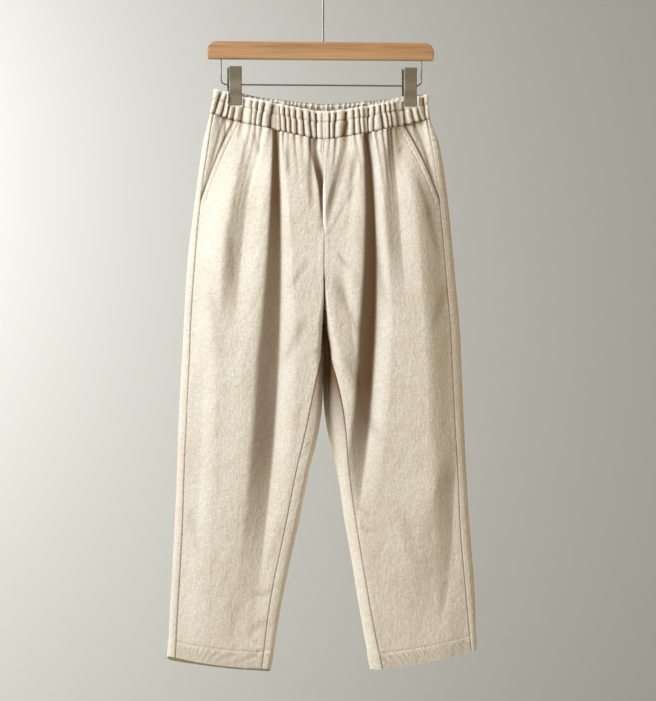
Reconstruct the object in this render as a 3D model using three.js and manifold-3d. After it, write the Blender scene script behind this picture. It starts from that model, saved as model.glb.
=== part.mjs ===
// Tapered pull-on trousers with a gathered elastic waist, hanging from the two clips of a wooden hanger.
// Millimetres, +Z up. The hanger's hook bears on its rail at the origin, the front faces -Y, and +X is to
// the right of someone who looks at that front.
import * as THREE from 'three';
import { mergeVertices } from 'three/addons/utils/BufferGeometryUtils.js';
import Module from 'manifold-3d';

// ---------------------------------------------------------------- driving dimensions
const WALL = 1.4;                 // cloth panel
const BAND_WALL = 2.6;            // waistband casing: two layers with elastic between
const SEAM_GAP = 0.3;             // between neighbouring pieces
const FIT = 0.3;                  // between hard pieces that touch

const WAIST_HALF = 174;           // half the width of the waistband, hung flat
const BAND = {                    // height of the casing's edges where the cloth sags between the clips
  frontTop: { middle: -232, rise: 34 },
  frontSeam: { middle: -278, rise: 39 },
  backTop: { middle: -216, rise: 18 },
  backSeam: { middle: -261, rise: 22 },
};
const SAG_POWER = 1.28;           // shape of that sag from the middle to the sides
const SAG_TILT = -0.012;          // the right end hangs a little lower
const SEAM_LEVEL = -250;          // nominal height of the panels' top row
const HEM_LEVEL = -1104;          // nominal height of the panels' bottom row
const HEM_DEPTH = 25;             // turned-up hem
const HEM_EXTRA = 0.9;            // how far the doubled hem stands out
const HEMS = {                    // how far each end of the hem lies from the nominal level, and its curve
  left: { inner: -14, outer: 6.5, curve: 1.8 },
  right: { inner: -17.5, outer: 12, curve: 1.4 },
};
const BACK_DROP = 3;              // the back of each hem hangs this much lower

const CLIP_X = 140;               // clips, from the middle
const CLIP = { width: 20.5, top: -160, bottom: -221, plate: 1.2 };
const BACK_JAW_SHIFT = -3;        // the back jaws sit a little to the left of the front ones
const FLY = { bottom: -434, lap: 3.2, edge: -1.2, stand: 1.25 };  // the right front laps over the left
const FORK = { front: -486, back: -500, point: -572 };  // where the legs part, and the crotch point
const POCKET_END = -379;          // where the slanted mouth meets the side seam
// under and clear: the facing's run behind the front, and its clearance there. Mouths: their distance from
// the middle at the waist seam.
const POCKET = { under: 22, clear: 1.9, leftMouth: 142, rightMouth: 130 };

const table = (columns, rows) => rows.map((row) => Object.fromEntries(columns.map((c, i) => [c, row[i]])));

// A row for each height. outer: silhouette. side: how far the side seam lies in from it, on the front.
// inner: silhouette of the inside leg. inseam: how far the inseam lies in from it. roll: how far the front
// of the leg rolls back from that inner edge. All are distances from the middle or from an edge.
const LEG_COLUMNS = ['z', 'outer', 'side', 'inner', 'inseam', 'roll', 'depth'];
const LEGS = {
  left: table(LEG_COLUMNS, [
    [-200, 173, 5, 0, 0, 0, 17],
    [-250, 180, 4, 0, 0, 0, 27],
    [-293, 191, 9, 0, 0, 0, 33],
    [-373, 204, 9, 0, 0, 0, 40],
    [-469, 216, 12, 0, 0, 0, 41],
    [-572, 222, 11, 0.5, 0.5, 1, 40],
    [-619, 224.5, 12, 1.5, 3, 2, 39],
    [-693, 229, 13, 1.5, 18, 0, 37],
    [-741, 231, 13, 7, 22, 0, 35],
    [-806, 233, 12, 22, 22, 0, 32],
    [-898, 237, 13, 41, 21, 0, 28],
    [-1006, 243, 13, 66, 19, 0, 22],
    [-1104, 248, 13, 84, 14, 0, 17],
  ]),
  right: table(LEG_COLUMNS, [
    [-200, 168, 4, 0, 0, 0, 17],
    [-250, 172, 5, 0, 0, 0, 27],
    [-293, 187, 13, 0, 0, 0, 33],
    [-373, 200.6, 15, 0, 0, 0, 40],
    [-469, 210, 15, 0, 0, 0, 41],
    [-572, 219.5, 16, 0.5, 0.5, 5, 40],
    [-619, 222, 16, 1.5, 9, 11, 39],
    [-693, 225, 15.5, 2, 26, 7, 37],
    [-741, 227, 15, 8, 27, 5, 35],
    [-806, 230.5, 14.5, 23, 18, 0, 32],
    [-898, 236, 16, 37, 16.5, 0, 28],
    [-1006, 244, 15, 57, 16.5, 0, 22],
    [-1104, 246.5, 9, 76, 19, 0, 17],
  ]),
};

// Soft troughs, a row for each. face: the side of the cloth it is pressed into; x and z at the top, middle
// and low end (+X right); width: of the left flank at the top and low end; right: the right flank's width
// as a share of it; depth at the deepest; start: the share of that depth at the top end.
const FOLDS = table([
  'face', 'xTop', 'zTop', 'xMid', 'zMid', 'xLow', 'zLow', 'widthTop', 'widthLow', 'right', 'depth', 'start',
], [
  ['front', -74, -258, -70, -540, -122, -1085, 9, 38, 1.1, 15, 0.38],
  ['front', 71, -258, 80, -560, 44, -890, 11, 31, 1.0, 15, 0.55],
  ['front', -106, -264, -127, -420, -142, -620, 16, 30, 1.2, 6, 0.35],
  ['front', 108, -258, 117, -380, 132, -560, 7, 26, 1.2, 5.5, 0.45],
  ['front', -14, -268, -7, -345, -3.5, -440, 9, 6, 0.4, 5, 0.8],
  ['front', 36, -264, 17, -350, 4, -434, 11, 8, 1.0, 4, 0.8],
  ['front', 26, -470, 42, -570, 62, -720, 18, 26, 1, 3.5, 0],
  ['front', 212, -770, 206, -900, 186, -1085, 20, 56, 0.6, 6, 0],
  ['front', -190, -620, -196, -800, -206, -980, 20, 28, 1, 2.5, 0],
  ['back', -66, -255, -84, -560, -120, -900, 14, 46, 1, 11, 0.45],
  ['back', 70, -255, 82, -600, 126, -980, 14, 46, 1, 11, 0.45],
  ['back', -126, -255, -134, -380, -150, -540, 12, 36, 1, 5, 0.45],
  ['back', 122, -255, 136, -400, 148, -600, 12, 36, 1, 5, 0.45],
  ['back', -28, -430, -96, -560, -170, -610, 20, 32, 1, 5, 0],
  ['back', 26, -440, 90, -570, 168, -640, 20, 32, 1, 5, 0],
]);

// ---------------------------------------------------------------- small helpers
const clamp01 = (t) => Math.min(1, Math.max(0, t));
const lerp = (a, b, t) => a + (b - a) * t;
const smooth = (t) => clamp01(t) ** 2 * (3 - 2 * clamp01(t));
const roundEdge = (t) => Math.sqrt(1 - (1 - clamp01(t)) ** 2);
const bump = (t) => Math.exp(-t * t);

// Value of a column at height z, on a smooth curve through the table's rows.
function at(rows, column, z) {
  const last = rows.length - 1;
  let k = 0;
  while (k < last - 1 && z < rows[k + 1].z) k += 1;
  const [a, b] = [rows[k], rows[k + 1]];
  const slope = (i) => {
    const [p, q] = [rows[Math.max(0, i - 1)], rows[Math.min(last, i + 1)]];
    return (q[column] - p[column]) / (q.z - p.z);
  };
  const span = b.z - a.z;
  const t = clamp01((z - a.z) / span);
  const [t2, t3] = [t * t, t * t * t];
  return (2 * t3 - 3 * t2 + 1) * a[column] + (t3 - 2 * t2 + t) * span * slope(k)
    + (3 * t2 - 2 * t3) * b[column] + (t3 - t2) * span * slope(k + 1);
}

// Sagging height of one edge of the waistband above x.
const sagAt = ({ middle, rise }, x) => (
  middle + rise * (Math.abs(x) / WAIST_HALF) ** SAG_POWER + SAG_TILT * x
);

// ---------------------------------------------------------------- the cloth's form
// Every cloth piece lies on one form: a point on it is given by leg (-1 left, +1 right), face (-1 front,
// +1 back), nominal height z, and distance x from the middle.

// How far the crotch seam stands in front of (or behind) the middle plane, as a share of the depth.
function seamShare(face, z) {
  const start = face < 0 ? FORK.front : FORK.back;
  const t = clamp01((start - z) / (start - FORK.point));
  return Math.max(0, 1 - t ** 1.8) ** 0.8;
}

// Width over which the inside of the leg rounds over: crisp in front on the left leg, wide at the back.
function innerRound(leg, face, z) {
  const front = face < 0;
  if (z > FORK.point) return 1 + (front ? 7 : 15) * (1 - seamShare(face, z));
  const wide = front ? (leg < 0 ? 10 : 30) : 44;
  return lerp(front ? 8 : 16, wide, smooth((FORK.point - z) / 170)) - 0.4 * wide * smooth((-900 - z) / 200);
}

// The clips pinch front and back together; the pinch fades below the waist seam.
function pinch(x, z) {
  const fade = 1 - smooth((-215 - z) / 170);
  const width = lerp(34, 15, fade);
  const beside = Math.max(0, Math.abs(Math.abs(x) - CLIP_X) - CLIP.width / 2 - 1);
  return 1 - 0.9 * fade * bump(beside / width);
}

// Left flank of a fold, nearly straight from its crisp bottom, 0, to its top, 1.
const ramp = (t) => 0.6 * (1 - clamp01(t)) + 0.4 * (1 - smooth(t));

function foldDepth(face, x, z) {
  let sum = 0;
  for (const fold of FOLDS) {
    if ((fold.face === 'front') !== (face < 0) || z < fold.zLow) continue;
    const t = clamp01((z - fold.zTop) / (fold.zLow - fold.zTop));
    const tMid = (fold.zMid - fold.zTop) / (fold.zLow - fold.zTop);
    const ends = lerp(fold.xTop, fold.xLow, t);
    const bend = (fold.xMid - lerp(fold.xTop, fold.xLow, tMid)) / (tMid * (1 - tMid));
    const off = x - (ends + bend * t * (1 - t));
    const opened = Math.min(1, 2.2 * t);
    const start = fold.start ? lerp(fold.start, 1, opened) : smooth((fold.zTop - z) / 60);
    const along = start * smooth((z - fold.zLow) / (0.45 * (fold.zTop - fold.zLow)));
    const width = lerp(fold.widthTop, fold.widthLow, opened);
    const across = off < 0 ? ramp(-off / width) : (1 - clamp01(off / (width * fold.right))) ** 1.6;
    sum += fold.depth * along * across;
  }
  return sum;
}

const legRows = (leg) => (leg < 0 ? LEGS.left : LEGS.right);

// Distance of the cloth from the middle plane, at distance x from the middle.
function halfDepth(leg, face, x, z) {
  const rows = legRows(leg);
  const depth = at(rows, 'depth', z) * (face < 0 ? 1 : 0.94);
  const fromOuter = at(rows, 'outer', z) - x;
  const fromInner = x - at(rows, 'inner', z);
  const edge = Math.min(9, 0.55 * depth);
  const outer = edge * roundEdge(fromOuter / edge) + (depth - edge) * smooth(fromOuter / 62);
  const share = seamShare(face, z);
  const roll = face < 0 ? at(rows, 'roll', z) : 0;
  const lobe = roll > 0.5 ? 0.16 * roundEdge(fromInner / 6) * smooth(roll / 4) : 0;
  const inner = share >= 1 ? 1 : share + (1 - share) * (lobe + (1 - lobe)
    * roundEdge((fromInner - roll) / innerRound(leg, face, z)));
  const body = outer * inner * pinch(x, z);
  const room = smooth(fromOuter / 30) * smooth((body - 4) / 14);
  const troughs = Math.min(foldDepth(face, leg * x, z) * room, 0.45 * body);
  return body - troughs;
}

// How far the cloth lies from its nominal height: the sagging waist at the top, the slant of the hem below.
function lift(leg, x, y, z) {
  const seam = y < 0 ? BAND.frontSeam : BAND.backSeam;
  const top = (sagAt(seam, leg * x) - SEAM_LEVEL) * (1 - smooth((SEAM_LEVEL - z) / 150));
  const low = smooth((-900 - z) / 204);
  const hem = leg < 0 ? HEMS.left : HEMS.right;
  const slant = lerp(hem.inner, hem.outer, clamp01((x - 84) / 164) ** hem.curve);
  return top + low * (slant - BACK_DROP * smooth((y + 10) / 20));
}

// One horizontal run of cloth, from the outer silhouette to the inner end, as dense points.
function run(leg, face, z) {
  const rows = legRows(leg);
  const [outer, inner] = [at(rows, 'outer', z), at(rows, 'inner', z)];
  const count = 220;
  const points = [];
  for (let i = 0; i <= count; i += 1) {
    const x = lerp(outer, inner, (1 - Math.cos((Math.PI * i) / count)) / 2);
    points.push([x, face * halfDepth(leg, face, x, z)]);
  }
  return points;
}

// The whole loop at height z, from the front's inner end round the outside to the back's inner end, with
// the length reached at each point and the places of the seams on it.
function loopAt(leg, z) {
  const front = run(leg, -1, z).reverse();
  const back = run(leg, 1, z);
  const closed = z <= FORK.point;
  if (closed) {
    front[0][1] = 0;
    back[back.length - 1][1] = 0;
  }
  const points = [...front, ...back.slice(1)];
  const length = [0];
  for (let i = 1; i < points.length; i += 1) {
    const step = Math.hypot(points[i][0] - points[i - 1][0], points[i][1] - points[i - 1][1]);
    length.push(length[i - 1] + step);
  }
  const rows = legRows(leg);
  const lengthAtX = (x) => {
    let i = 1;
    while (i < front.length - 1 && points[i][0] < x) i += 1;
    const t = clamp01((x - points[i - 1][0]) / (points[i][0] - points[i - 1][0]));
    return lerp(length[i - 1], length[i], t);
  };
  const outer = at(rows, 'outer', z);
  const inner = at(rows, 'inner', z);
  const sideSeam = lengthAtX(outer - at(rows, 'side', z));
  const inseam = closed ? lengthAtX(inner + at(rows, 'inseam', z)) : 0;
  return { leg, z, points, length, closed, sideSeam, inseam, total: length[length.length - 1], lengthAtX };
}

// The point at a length along the loop, and its outward normal in plan.
function onLoop(loop, s) {
  const { points, length, total, closed } = loop;
  const where = (q) => {
    const d = closed ? ((q % total) + total) % total : Math.min(total, Math.max(0, q));
    let [lo, hi] = [0, length.length - 1];
    while (hi - lo > 1) {
      const mid = (lo + hi) >> 1;
      if (length[mid] <= d) lo = mid;
      else hi = mid;
    }
    const t = (d - length[lo]) / Math.max(1e-9, length[hi] - length[lo]);
    return [lerp(points[lo][0], points[hi][0], t), lerp(points[lo][1], points[hi][1], t)];
  };
  const p = where(s);
  const [a, b] = [where(s - 1.2), where(s + 1.2)];
  const size = Math.hypot(b[0] - a[0], b[1] - a[1]) || 1;
  return { x: p[0], y: p[1], nx: (b[1] - a[1]) / size, ny: -(b[0] - a[0]) / size };
}

// A place on a cloth piece: out is how far it stands out from the form.
function clothPoint(loop, s, out) {
  const { x, y, nx, ny } = onLoop(loop, s);
  return [loop.leg * (x + nx * out), y + ny * out, loop.z + lift(loop.leg, x, y, loop.z)];
}

// ---------------------------------------------------------------- solids from grids of points
// A wall between an outer and an inner grid of the same size, closed round its rim.
function wallBetween(outer, inner, flip) {
  const [rows, cols] = [outer.length, outer[0].length];
  const positions = [...outer.flat(), ...inner.flat()].flat();
  const id = (layer, r, c) => layer * rows * cols + r * cols + c;
  const faces = [];
  const quad = (a, b, c, d) => (flip ? faces.push(a, c, b, a, d, c) : faces.push(a, b, c, a, c, d));
  for (let r = 0; r < rows - 1; r += 1) {
    for (let c = 0; c < cols - 1; c += 1) {
      quad(id(0, r, c), id(0, r + 1, c), id(0, r + 1, c + 1), id(0, r, c + 1));
      quad(id(1, r, c), id(1, r, c + 1), id(1, r + 1, c + 1), id(1, r + 1, c));
    }
  }
  for (let r = 0; r < rows - 1; r += 1) {
    quad(id(0, r, 0), id(1, r, 0), id(1, r + 1, 0), id(0, r + 1, 0));
    quad(id(0, r, cols - 1), id(0, r + 1, cols - 1), id(1, r + 1, cols - 1), id(1, r, cols - 1));
  }
  for (let c = 0; c < cols - 1; c += 1) {
    quad(id(0, 0, c), id(0, 0, c + 1), id(1, 0, c + 1), id(1, 0, c));
    quad(id(0, rows - 1, c), id(1, rows - 1, c), id(1, rows - 1, c + 1), id(0, rows - 1, c + 1));
  }
  const geometry = new THREE.BufferGeometry();
  geometry.setAttribute('position', new THREE.Float32BufferAttribute(positions, 3));
  geometry.setIndex(faces);
  return geometry;
}

// ---------------------------------------------------------------- leg panels
const PANEL_LEVELS = [
  -250, -268, -296, -335, -357, -379, -410, -422, -434, -460, -484, -500, -518, -536, -552, -564, -572, -596,
  -630, -680, -740, -810, -900, -1000, -1079, -1080, -1104,
];

const hemStep = (z) => (z <= HEM_LEVEL + HEM_DEPTH ? HEM_EXTRA : 0);
// The lap stands out over one stretch at each end, and only then reaches across the middle.
const lapStand = (z) => smooth((-250 - z) / 18) * smooth((z - FLY.bottom) / 12);
const lapReach = (z) => smooth((-268 - z) / 28) * smooth((z - FLY.bottom - 12) / 12);

// Slanted pocket mouth: distance from the middle, between the waist seam and the side seam.
function mouthX(leg, z) {
  const rows = legRows(leg);
  const end = at(rows, 'outer', POCKET_END) - at(rows, 'side', POCKET_END);
  const start = leg < 0 ? POCKET.leftMouth : POCKET.rightMouth;
  const t = clamp01((SEAM_LEVEL - z) / (SEAM_LEVEL - POCKET_END));
  return lerp(start, end, t) + Math.sin(Math.PI * t);
}

// Shares along a run, crowded towards both its ends, where the cloth turns most.
const crowded = (t) => t - (0.45 * Math.sin(2 * Math.PI * t)) / (2 * Math.PI);

function frontPanel(leg) {
  const columns = 22;
  const [outer, inner] = [[], []];
  for (const z of PANEL_LEVELS) {
    const loop = loopAt(leg, z);
    const edge = z > POCKET_END ? Math.min(loop.lengthAtX(mouthX(leg, z)), loop.sideSeam) : loop.sideSeam;
    const stand = leg * FLY.stand * lapStand(z);
    const reach = (leg > 0 ? FLY.edge : FLY.lap) * lapReach(z);
    const start = loop.inseam + SEAM_GAP / 2;
    const end = edge - SEAM_GAP / 2;
    const [a, b] = [[], []];
    for (let c = 0; c <= columns; c += 1) {
      const s = lerp(start, end, crowded(c / columns));
      const nearEdge = 1 - smooth((s - start) / 14);
      const shift = reach * nearEdge;
      const p = clothPoint(loop, s, hemStep(z) + stand * nearEdge);
      const q = clothPoint(loop, s, stand * nearEdge - WALL - hemStep(z));
      a.push([p[0] + shift, p[1], p[2]]);
      b.push([q[0] + shift, q[1], q[2]]);
    }
    outer.push(a);
    inner.push(b);
  }
  return wallBetween(outer, inner, leg < 0);
}

function backPanel(leg) {
  const columns = 18;
  const [outer, inner] = [[], []];
  for (const z of PANEL_LEVELS) {
    const loop = loopAt(leg, z);
    const start = loop.sideSeam + SEAM_GAP / 2;
    const end = loop.total + loop.inseam - SEAM_GAP / 2;
    const [a, b] = [[], []];
    for (let c = 0; c <= columns; c += 1) {
      const s = lerp(start, end, c / columns);
      a.push(clothPoint(loop, s, hemStep(z)));
      b.push(clothPoint(loop, s, -WALL - hemStep(z)));
    }
    outer.push(a);
    inner.push(b);
  }
  return wallBetween(outer, inner, leg < 0);
}

// The facing shows between the mouth and the side seam, and runs on behind the front panel.
function pocketFacing(leg) {
  const columns = 10;
  const levels = [SEAM_LEVEL, -262, -276, -292, -308, -324, -340, -356, -370];
  const [outer, inner] = [[], []];
  for (const z of levels) {
    const loop = loopAt(leg, z);
    const start = loop.lengthAtX(mouthX(leg, z) - POCKET.under);
    const end = loop.sideSeam - SEAM_GAP / 2;
    const shown = loop.sideSeam - loop.lengthAtX(mouthX(leg, z));
    const [a, b] = [[], []];
    for (let c = 0; c <= columns; c += 1) {
      const s = lerp(start, end, c / columns);
      const room = Math.abs(onLoop(loop, s).y) - WALL - SEAM_GAP / 2;
      const recess = Math.min(WALL + POCKET.clear, room) * smooth((end - s) / Math.min(10, 0.75 * shown));
      a.push(clothPoint(loop, s, -recess));
      b.push(clothPoint(loop, s, -recess - WALL));
    }
    outer.push(a);
    inner.push(b);
  }
  return wallBetween(outer, inner, leg < 0);
}

// ---------------------------------------------------------------- waistband
const GATHERS = table(['face', 'leg', 'count', 'columnsEach', 'depth', 'flat'], [
  ['front', -1, 15, 4, 1.3, 0],
  ['front', 1, 14, 4, 1.3, 13],
  ['back', -1, 14, 4, 1.2, 0],
  ['back', 1, 14, 4, 1.2, 0],
]);
// Heights across the casing, 0 at the seam and 1 at the top, with how far each stands out: two channels.
const CHANNELS = table(['share', 'puff'], [
  [0, 0.1], [0.2, 1.1], [0.42, 1.1], [0.58, -0.1], [0.8, 1.0], [1, 0.2],
]);

// Points of one half of the casing at one height, from the middle to the side.
function bandHalf({ face, leg, count, columnsEach, depth, flat }, { share, puff }) {
  const side = face === 'front' ? -1 : 1;
  const z = lerp(SEAM_LEVEL, -200, share);
  const loop = loopAt(leg, z);
  const [seam, top] = side < 0 ? [BAND.frontSeam, BAND.frontTop] : [BAND.backSeam, BAND.backTop];
  const middle = side < 0 ? 0 : loop.total;
  const reach = loop.lengthAtX(at(legRows(leg), 'outer', z));
  const columns = count * columnsEach;
  const pressed = CLIP.width / 2 + 1 + (side > 0 ? Math.abs(BACK_JAW_SHIFT) : 0);
  const [outer, inner] = [[], []];
  for (let c = 0; c <= columns; c += 1) {
    const t = c / columns;
    const place = onLoop(loop, lerp(middle, reach + (side * SEAM_GAP) / 2, t));
    const wander = 0.3 * Math.sin(9 * t + 2 * leg) + 0.22 * Math.sin(23 * t + side);
    const wave = Math.cos(2 * Math.PI * (count * t + 0.5 + wander * smooth(t * 8) * smooth((1 - t) * 8)));
    const calm = smooth((place.x - flat) / 8) * smooth((Math.abs(place.x - CLIP_X) - pressed) / 8);
    const stand = (puff + depth * wave * (0.75 + 0.25 * Math.sin(37 * t))) * calm;
    const pinched = 1 - smooth((place.x - CLIP_X - CLIP.width / 2 - 4) / 8);
    const lacking = Math.max(0, BAND_WALL + SEAM_GAP / 2 - Math.abs(place.y) - Math.min(0, stand)) * pinched;
    const [low, high] = [sagAt(seam, leg * place.x), sagAt(top, leg * place.x)];
    const height = lerp(low, high, share) + SEAM_GAP * (1 - share);
    const standing = (out) => [leg * (place.x + place.nx * out), place.y + place.ny * out, height];
    outer.push(standing(stand + lacking));
    inner.push(standing(stand + lacking - BAND_WALL));
  }
  return [outer, inner];
}

function waistband(face) {
  const halves = GATHERS.filter((g) => g.face === face);
  const [outer, inner] = [[], []];
  for (const channel of CHANNELS) {
    const [leftOuter, leftInner] = bandHalf(halves[0], channel);
    const [rightOuter, rightInner] = bandHalf(halves[1], channel);
    outer.push([...leftOuter.reverse(), ...rightOuter.slice(1)]);
    inner.push([...leftInner.reverse(), ...rightInner.slice(1)]);
  }
  return wallBetween(outer, inner, face === 'front');
}

// ---------------------------------------------------------------- hanger
const BAR = { left: -185, right: 178, top: -120, height: 28, thick: 12, shoulder: 15, heel: 4 };
const HOOK = { wire: 3.6, inside: 18, join: -58, bend: 17 };  // join: the bend meets the crook, degrees
const WIRE = { size: 2.6, left: -163, right: 158, level: -188.5, corner: 9, seat: 10 };

const wasm = await Module();
wasm.setup();

function toSolid(geometry) {
  const bare = geometry.clone();
  bare.deleteAttribute('normal');
  bare.deleteAttribute('uv');
  const merged = mergeVertices(bare, 1e-4);
  const index = merged.index.array;
  const mesh = new wasm.Mesh({
    numProp: 3,
    vertProperties: new Float32Array(merged.attributes.position.array),
    triVerts: new Uint32Array(index),
  });
  return new wasm.Manifold(mesh);
}

function toGeometry(solid) {
  const mesh = solid.getMesh();
  const geometry = new THREE.BufferGeometry();
  geometry.setAttribute('position', new THREE.BufferAttribute(new Float32Array(mesh.vertProperties), 3));
  geometry.setIndex(Array.from(mesh.triVerts));
  return geometry;
}

function circleShape(radius, sides) {
  const points = [];
  for (let i = 0; i < sides; i += 1) {
    const a = (2 * Math.PI * i) / sides;
    points.push(new THREE.Vector2(radius * Math.cos(a), radius * Math.sin(a)));
  }
  return new THREE.Shape(points);
}

// A round rod along a path of straight runs and arcs.
function rod(path, steps, radius, sides) {
  const section = circleShape(radius, sides);
  return new THREE.ExtrudeGeometry(section, { steps, extrudePath: path, bevelEnabled: false });
}

class PlanarRoute extends THREE.Curve {
  constructor(points) {
    super();
    this.points = points;
  }

  getPoint(t) {
    const f = t * (this.points.length - 1);
    const i = Math.min(this.points.length - 2, Math.floor(f));
    return this.points[i].clone().lerp(this.points[i + 1], f - i);
  }

  getPointAt(t) { return this.getPoint(t); }

  getTangentAt(t) {
    const e = 0.5 / (this.points.length - 1);
    return this.getPoint(Math.min(1, t + e)).sub(this.getPoint(Math.max(0, t - e))).normalize();
  }
}

const arc = (cx, cz, r, from, to, n) => Array.from({ length: n + 1 }, (_, i) => {
  const a = THREE.MathUtils.degToRad(lerp(from, to, i / n));
  return new THREE.Vector3(cx + r * Math.cos(a), 0, cz + r * Math.sin(a));
});

function drillUpright(x, z, radius, depth) {
  const hole = new THREE.CylinderGeometry(radius, radius, depth, 16);
  hole.rotateX(Math.PI / 2);
  hole.translate(x, 0, z);
  return toSolid(hole);
}

function hangerBar() {
  const { left, right, top, height, thick, shoulder, heel } = BAR;
  const shape = new THREE.Shape();
  shape.moveTo(left + heel, top - height);
  shape.lineTo(right - heel, top - height);
  shape.absarc(right - heel, top - height + heel, heel, -Math.PI / 2, 0, false);
  shape.lineTo(right, top - shoulder);
  shape.absarc(right - shoulder, top - shoulder, shoulder, 0, Math.PI / 2, false);
  shape.lineTo(left + shoulder, top);
  shape.absarc(left + shoulder, top - shoulder, shoulder, Math.PI / 2, Math.PI, false);
  shape.lineTo(left, top - height + heel);
  shape.absarc(left + heel, top - height + heel, heel, Math.PI, 1.5 * Math.PI, false);
  const bevel = 1.5;
  const block = new THREE.ExtrudeGeometry(shape, {
    depth: thick - 2 * bevel, bevelThickness: bevel, bevelSize: bevel, bevelOffset: -bevel, bevelSegments: 1,
    curveSegments: 4,
  });
  block.rotateX(Math.PI / 2);
  block.translate(0, thick / 2 - bevel, 0);
  const legHole = WIRE.size / 2 + FIT;
  const holes = [
    drillUpright(0, top, HOOK.wire / 2 + FIT, 2 * WIRE.seat + 2 * FIT),
    drillUpright(WIRE.left, top - height, legHole, 2 * WIRE.seat + 2 * FIT),
    drillUpright(WIRE.right, top - height, legHole, 2 * WIRE.seat + 2 * FIT),
  ];
  return toGeometry(holes.reduce((solid, hole) => solid.subtract(hole), toSolid(block)));
}

// The crook's highest inside point is the origin, straight above the stem.
function hangerHook() {
  const centre = HOOK.inside + HOOK.wire / 2;
  const crook = -HOOK.inside;
  const a = THREE.MathUtils.degToRad(HOOK.join);
  const join = [centre * Math.cos(a), crook + centre * Math.sin(a)];
  const stemTop = join[1] - HOOK.bend;
  const route = [
    new THREE.Vector3(0, 0, BAR.top - WIRE.seat),
    new THREE.Vector3(0, 0, BAR.top + 20),
    new THREE.Vector3(0, 0, stemTop),
  ];
  for (let i = 1; i <= 5; i += 1) {
    const t = i / 6;
    route.push(new THREE.Vector3(join[0] * smooth(t), 0, lerp(stemTop, join[1], t ** 0.85)));
  }
  route.push(...arc(0, crook, centre, HOOK.join, 196, 26));
  return rod(new PlanarRoute(route), route.length - 1, HOOK.wire / 2, 8);
}

function clipWire() {
  const { left, right, level, corner, seat } = WIRE;
  const up = BAR.top - BAR.height + seat;
  const route = [
    new THREE.Vector3(left, 0, up),
    new THREE.Vector3(left, 0, BAR.top - BAR.height - 12),
    ...arc(left + corner, level + corner, corner, 180, 270, 6),
    ...arc(right - corner, level + corner, corner, -90, 0, 6),
    new THREE.Vector3(right, 0, BAR.top - BAR.height - 12),
    new THREE.Vector3(right, 0, up),
  ];
  return rod(new PlanarRoute(route), route.length - 1, WIRE.size / 2, 8);
}

const SPRING = { radius: 4.4, length: 13 };

// A jaw is one bent plate: a finger tab above the wire, a straight middle over the spring, and a lip on
// the cloth.
function clipJaw(face) {
  const { width, top, bottom, plate } = CLIP;
  const spring = SPRING.radius + FIT;
  const lip = BAND_WALL + SEAM_GAP / 2 + FIT;
  const profile = [
    [spring + 3.4, top], [spring, WIRE.level + 7], [spring, WIRE.level - 7], [lip, -206], [lip, bottom],
  ];
  const shape = new THREE.Shape();
  profile.forEach(([y, z], i) => (i ? shape.lineTo(y, z) : shape.moveTo(y, z)));
  [...profile].reverse().forEach(([y, z]) => shape.lineTo(y + plate, z));
  const geometry = new THREE.ExtrudeGeometry(shape, { depth: width, bevelEnabled: false });
  const outward = new THREE.Vector3(0, face, 0);
  const across = new THREE.Vector3(face, 0, 0);
  const turn = new THREE.Matrix4().makeBasis(outward, new THREE.Vector3(0, 0, 1), across);
  return geometry.translate(0, 0, -width / 2).applyMatrix4(turn);
}

function springRoller() {
  const hollow = WIRE.size / 2 + FIT;
  const { radius, length } = SPRING;
  const profile = [
    new THREE.Vector2(hollow, -length / 2), new THREE.Vector2(radius, -length / 2),
    new THREE.Vector2(radius, length / 2), new THREE.Vector2(hollow, length / 2),
    new THREE.Vector2(hollow, -length / 2),
  ];
  const ring = new THREE.LatheGeometry(profile, 12);
  ring.rotateZ(Math.PI / 2);
  return ring;
}

// ---------------------------------------------------------------- the whole part
const finish = (color, roughness, metalness) => (
  new THREE.MeshStandardMaterial({ color, roughness, metalness })
);
const group = new THREE.Group();

function add(name, geometry, material, position = [0, 0, 0]) {
  const mesh = new THREE.Mesh(geometry, material);
  mesh.name = name;
  mesh.position.set(...position);
  group.add(mesh);
}

const linen = () => finish('#e6dccb', 0.9, 0);
const steel = () => finish('#b9b4aa', 0.35, 1);
const clipSteel = () => finish('#8e8675', 0.45, 1);

for (const [leg, side] of [[-1, 'left'], [1, 'right']]) {
  add(`front_${side}`, frontPanel(leg), linen());
  add(`back_${side}`, backPanel(leg), linen());
  add(`pocket_facing_${side}`, pocketFacing(leg), linen());
  add(`clip_${side}_front_jaw`, clipJaw(-1), clipSteel(), [leg * CLIP_X, 0, 0]);
  add(`clip_${side}_back_jaw`, clipJaw(1), clipSteel(), [leg * CLIP_X + BACK_JAW_SHIFT, 0, 0]);
  add(`clip_${side}_spring`, springRoller(), steel(), [leg * CLIP_X, 0, WIRE.level]);
}
add('waistband_front', waistband('front'), linen());
add('waistband_back', waistband('back'), linen());
add('hanger_bar', hangerBar(), finish('#b99064', 0.55, 0));
add('hanger_hook', hangerHook(), steel());
add('clip_wire', clipWire(), steel());

export default group;
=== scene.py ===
import math

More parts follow.
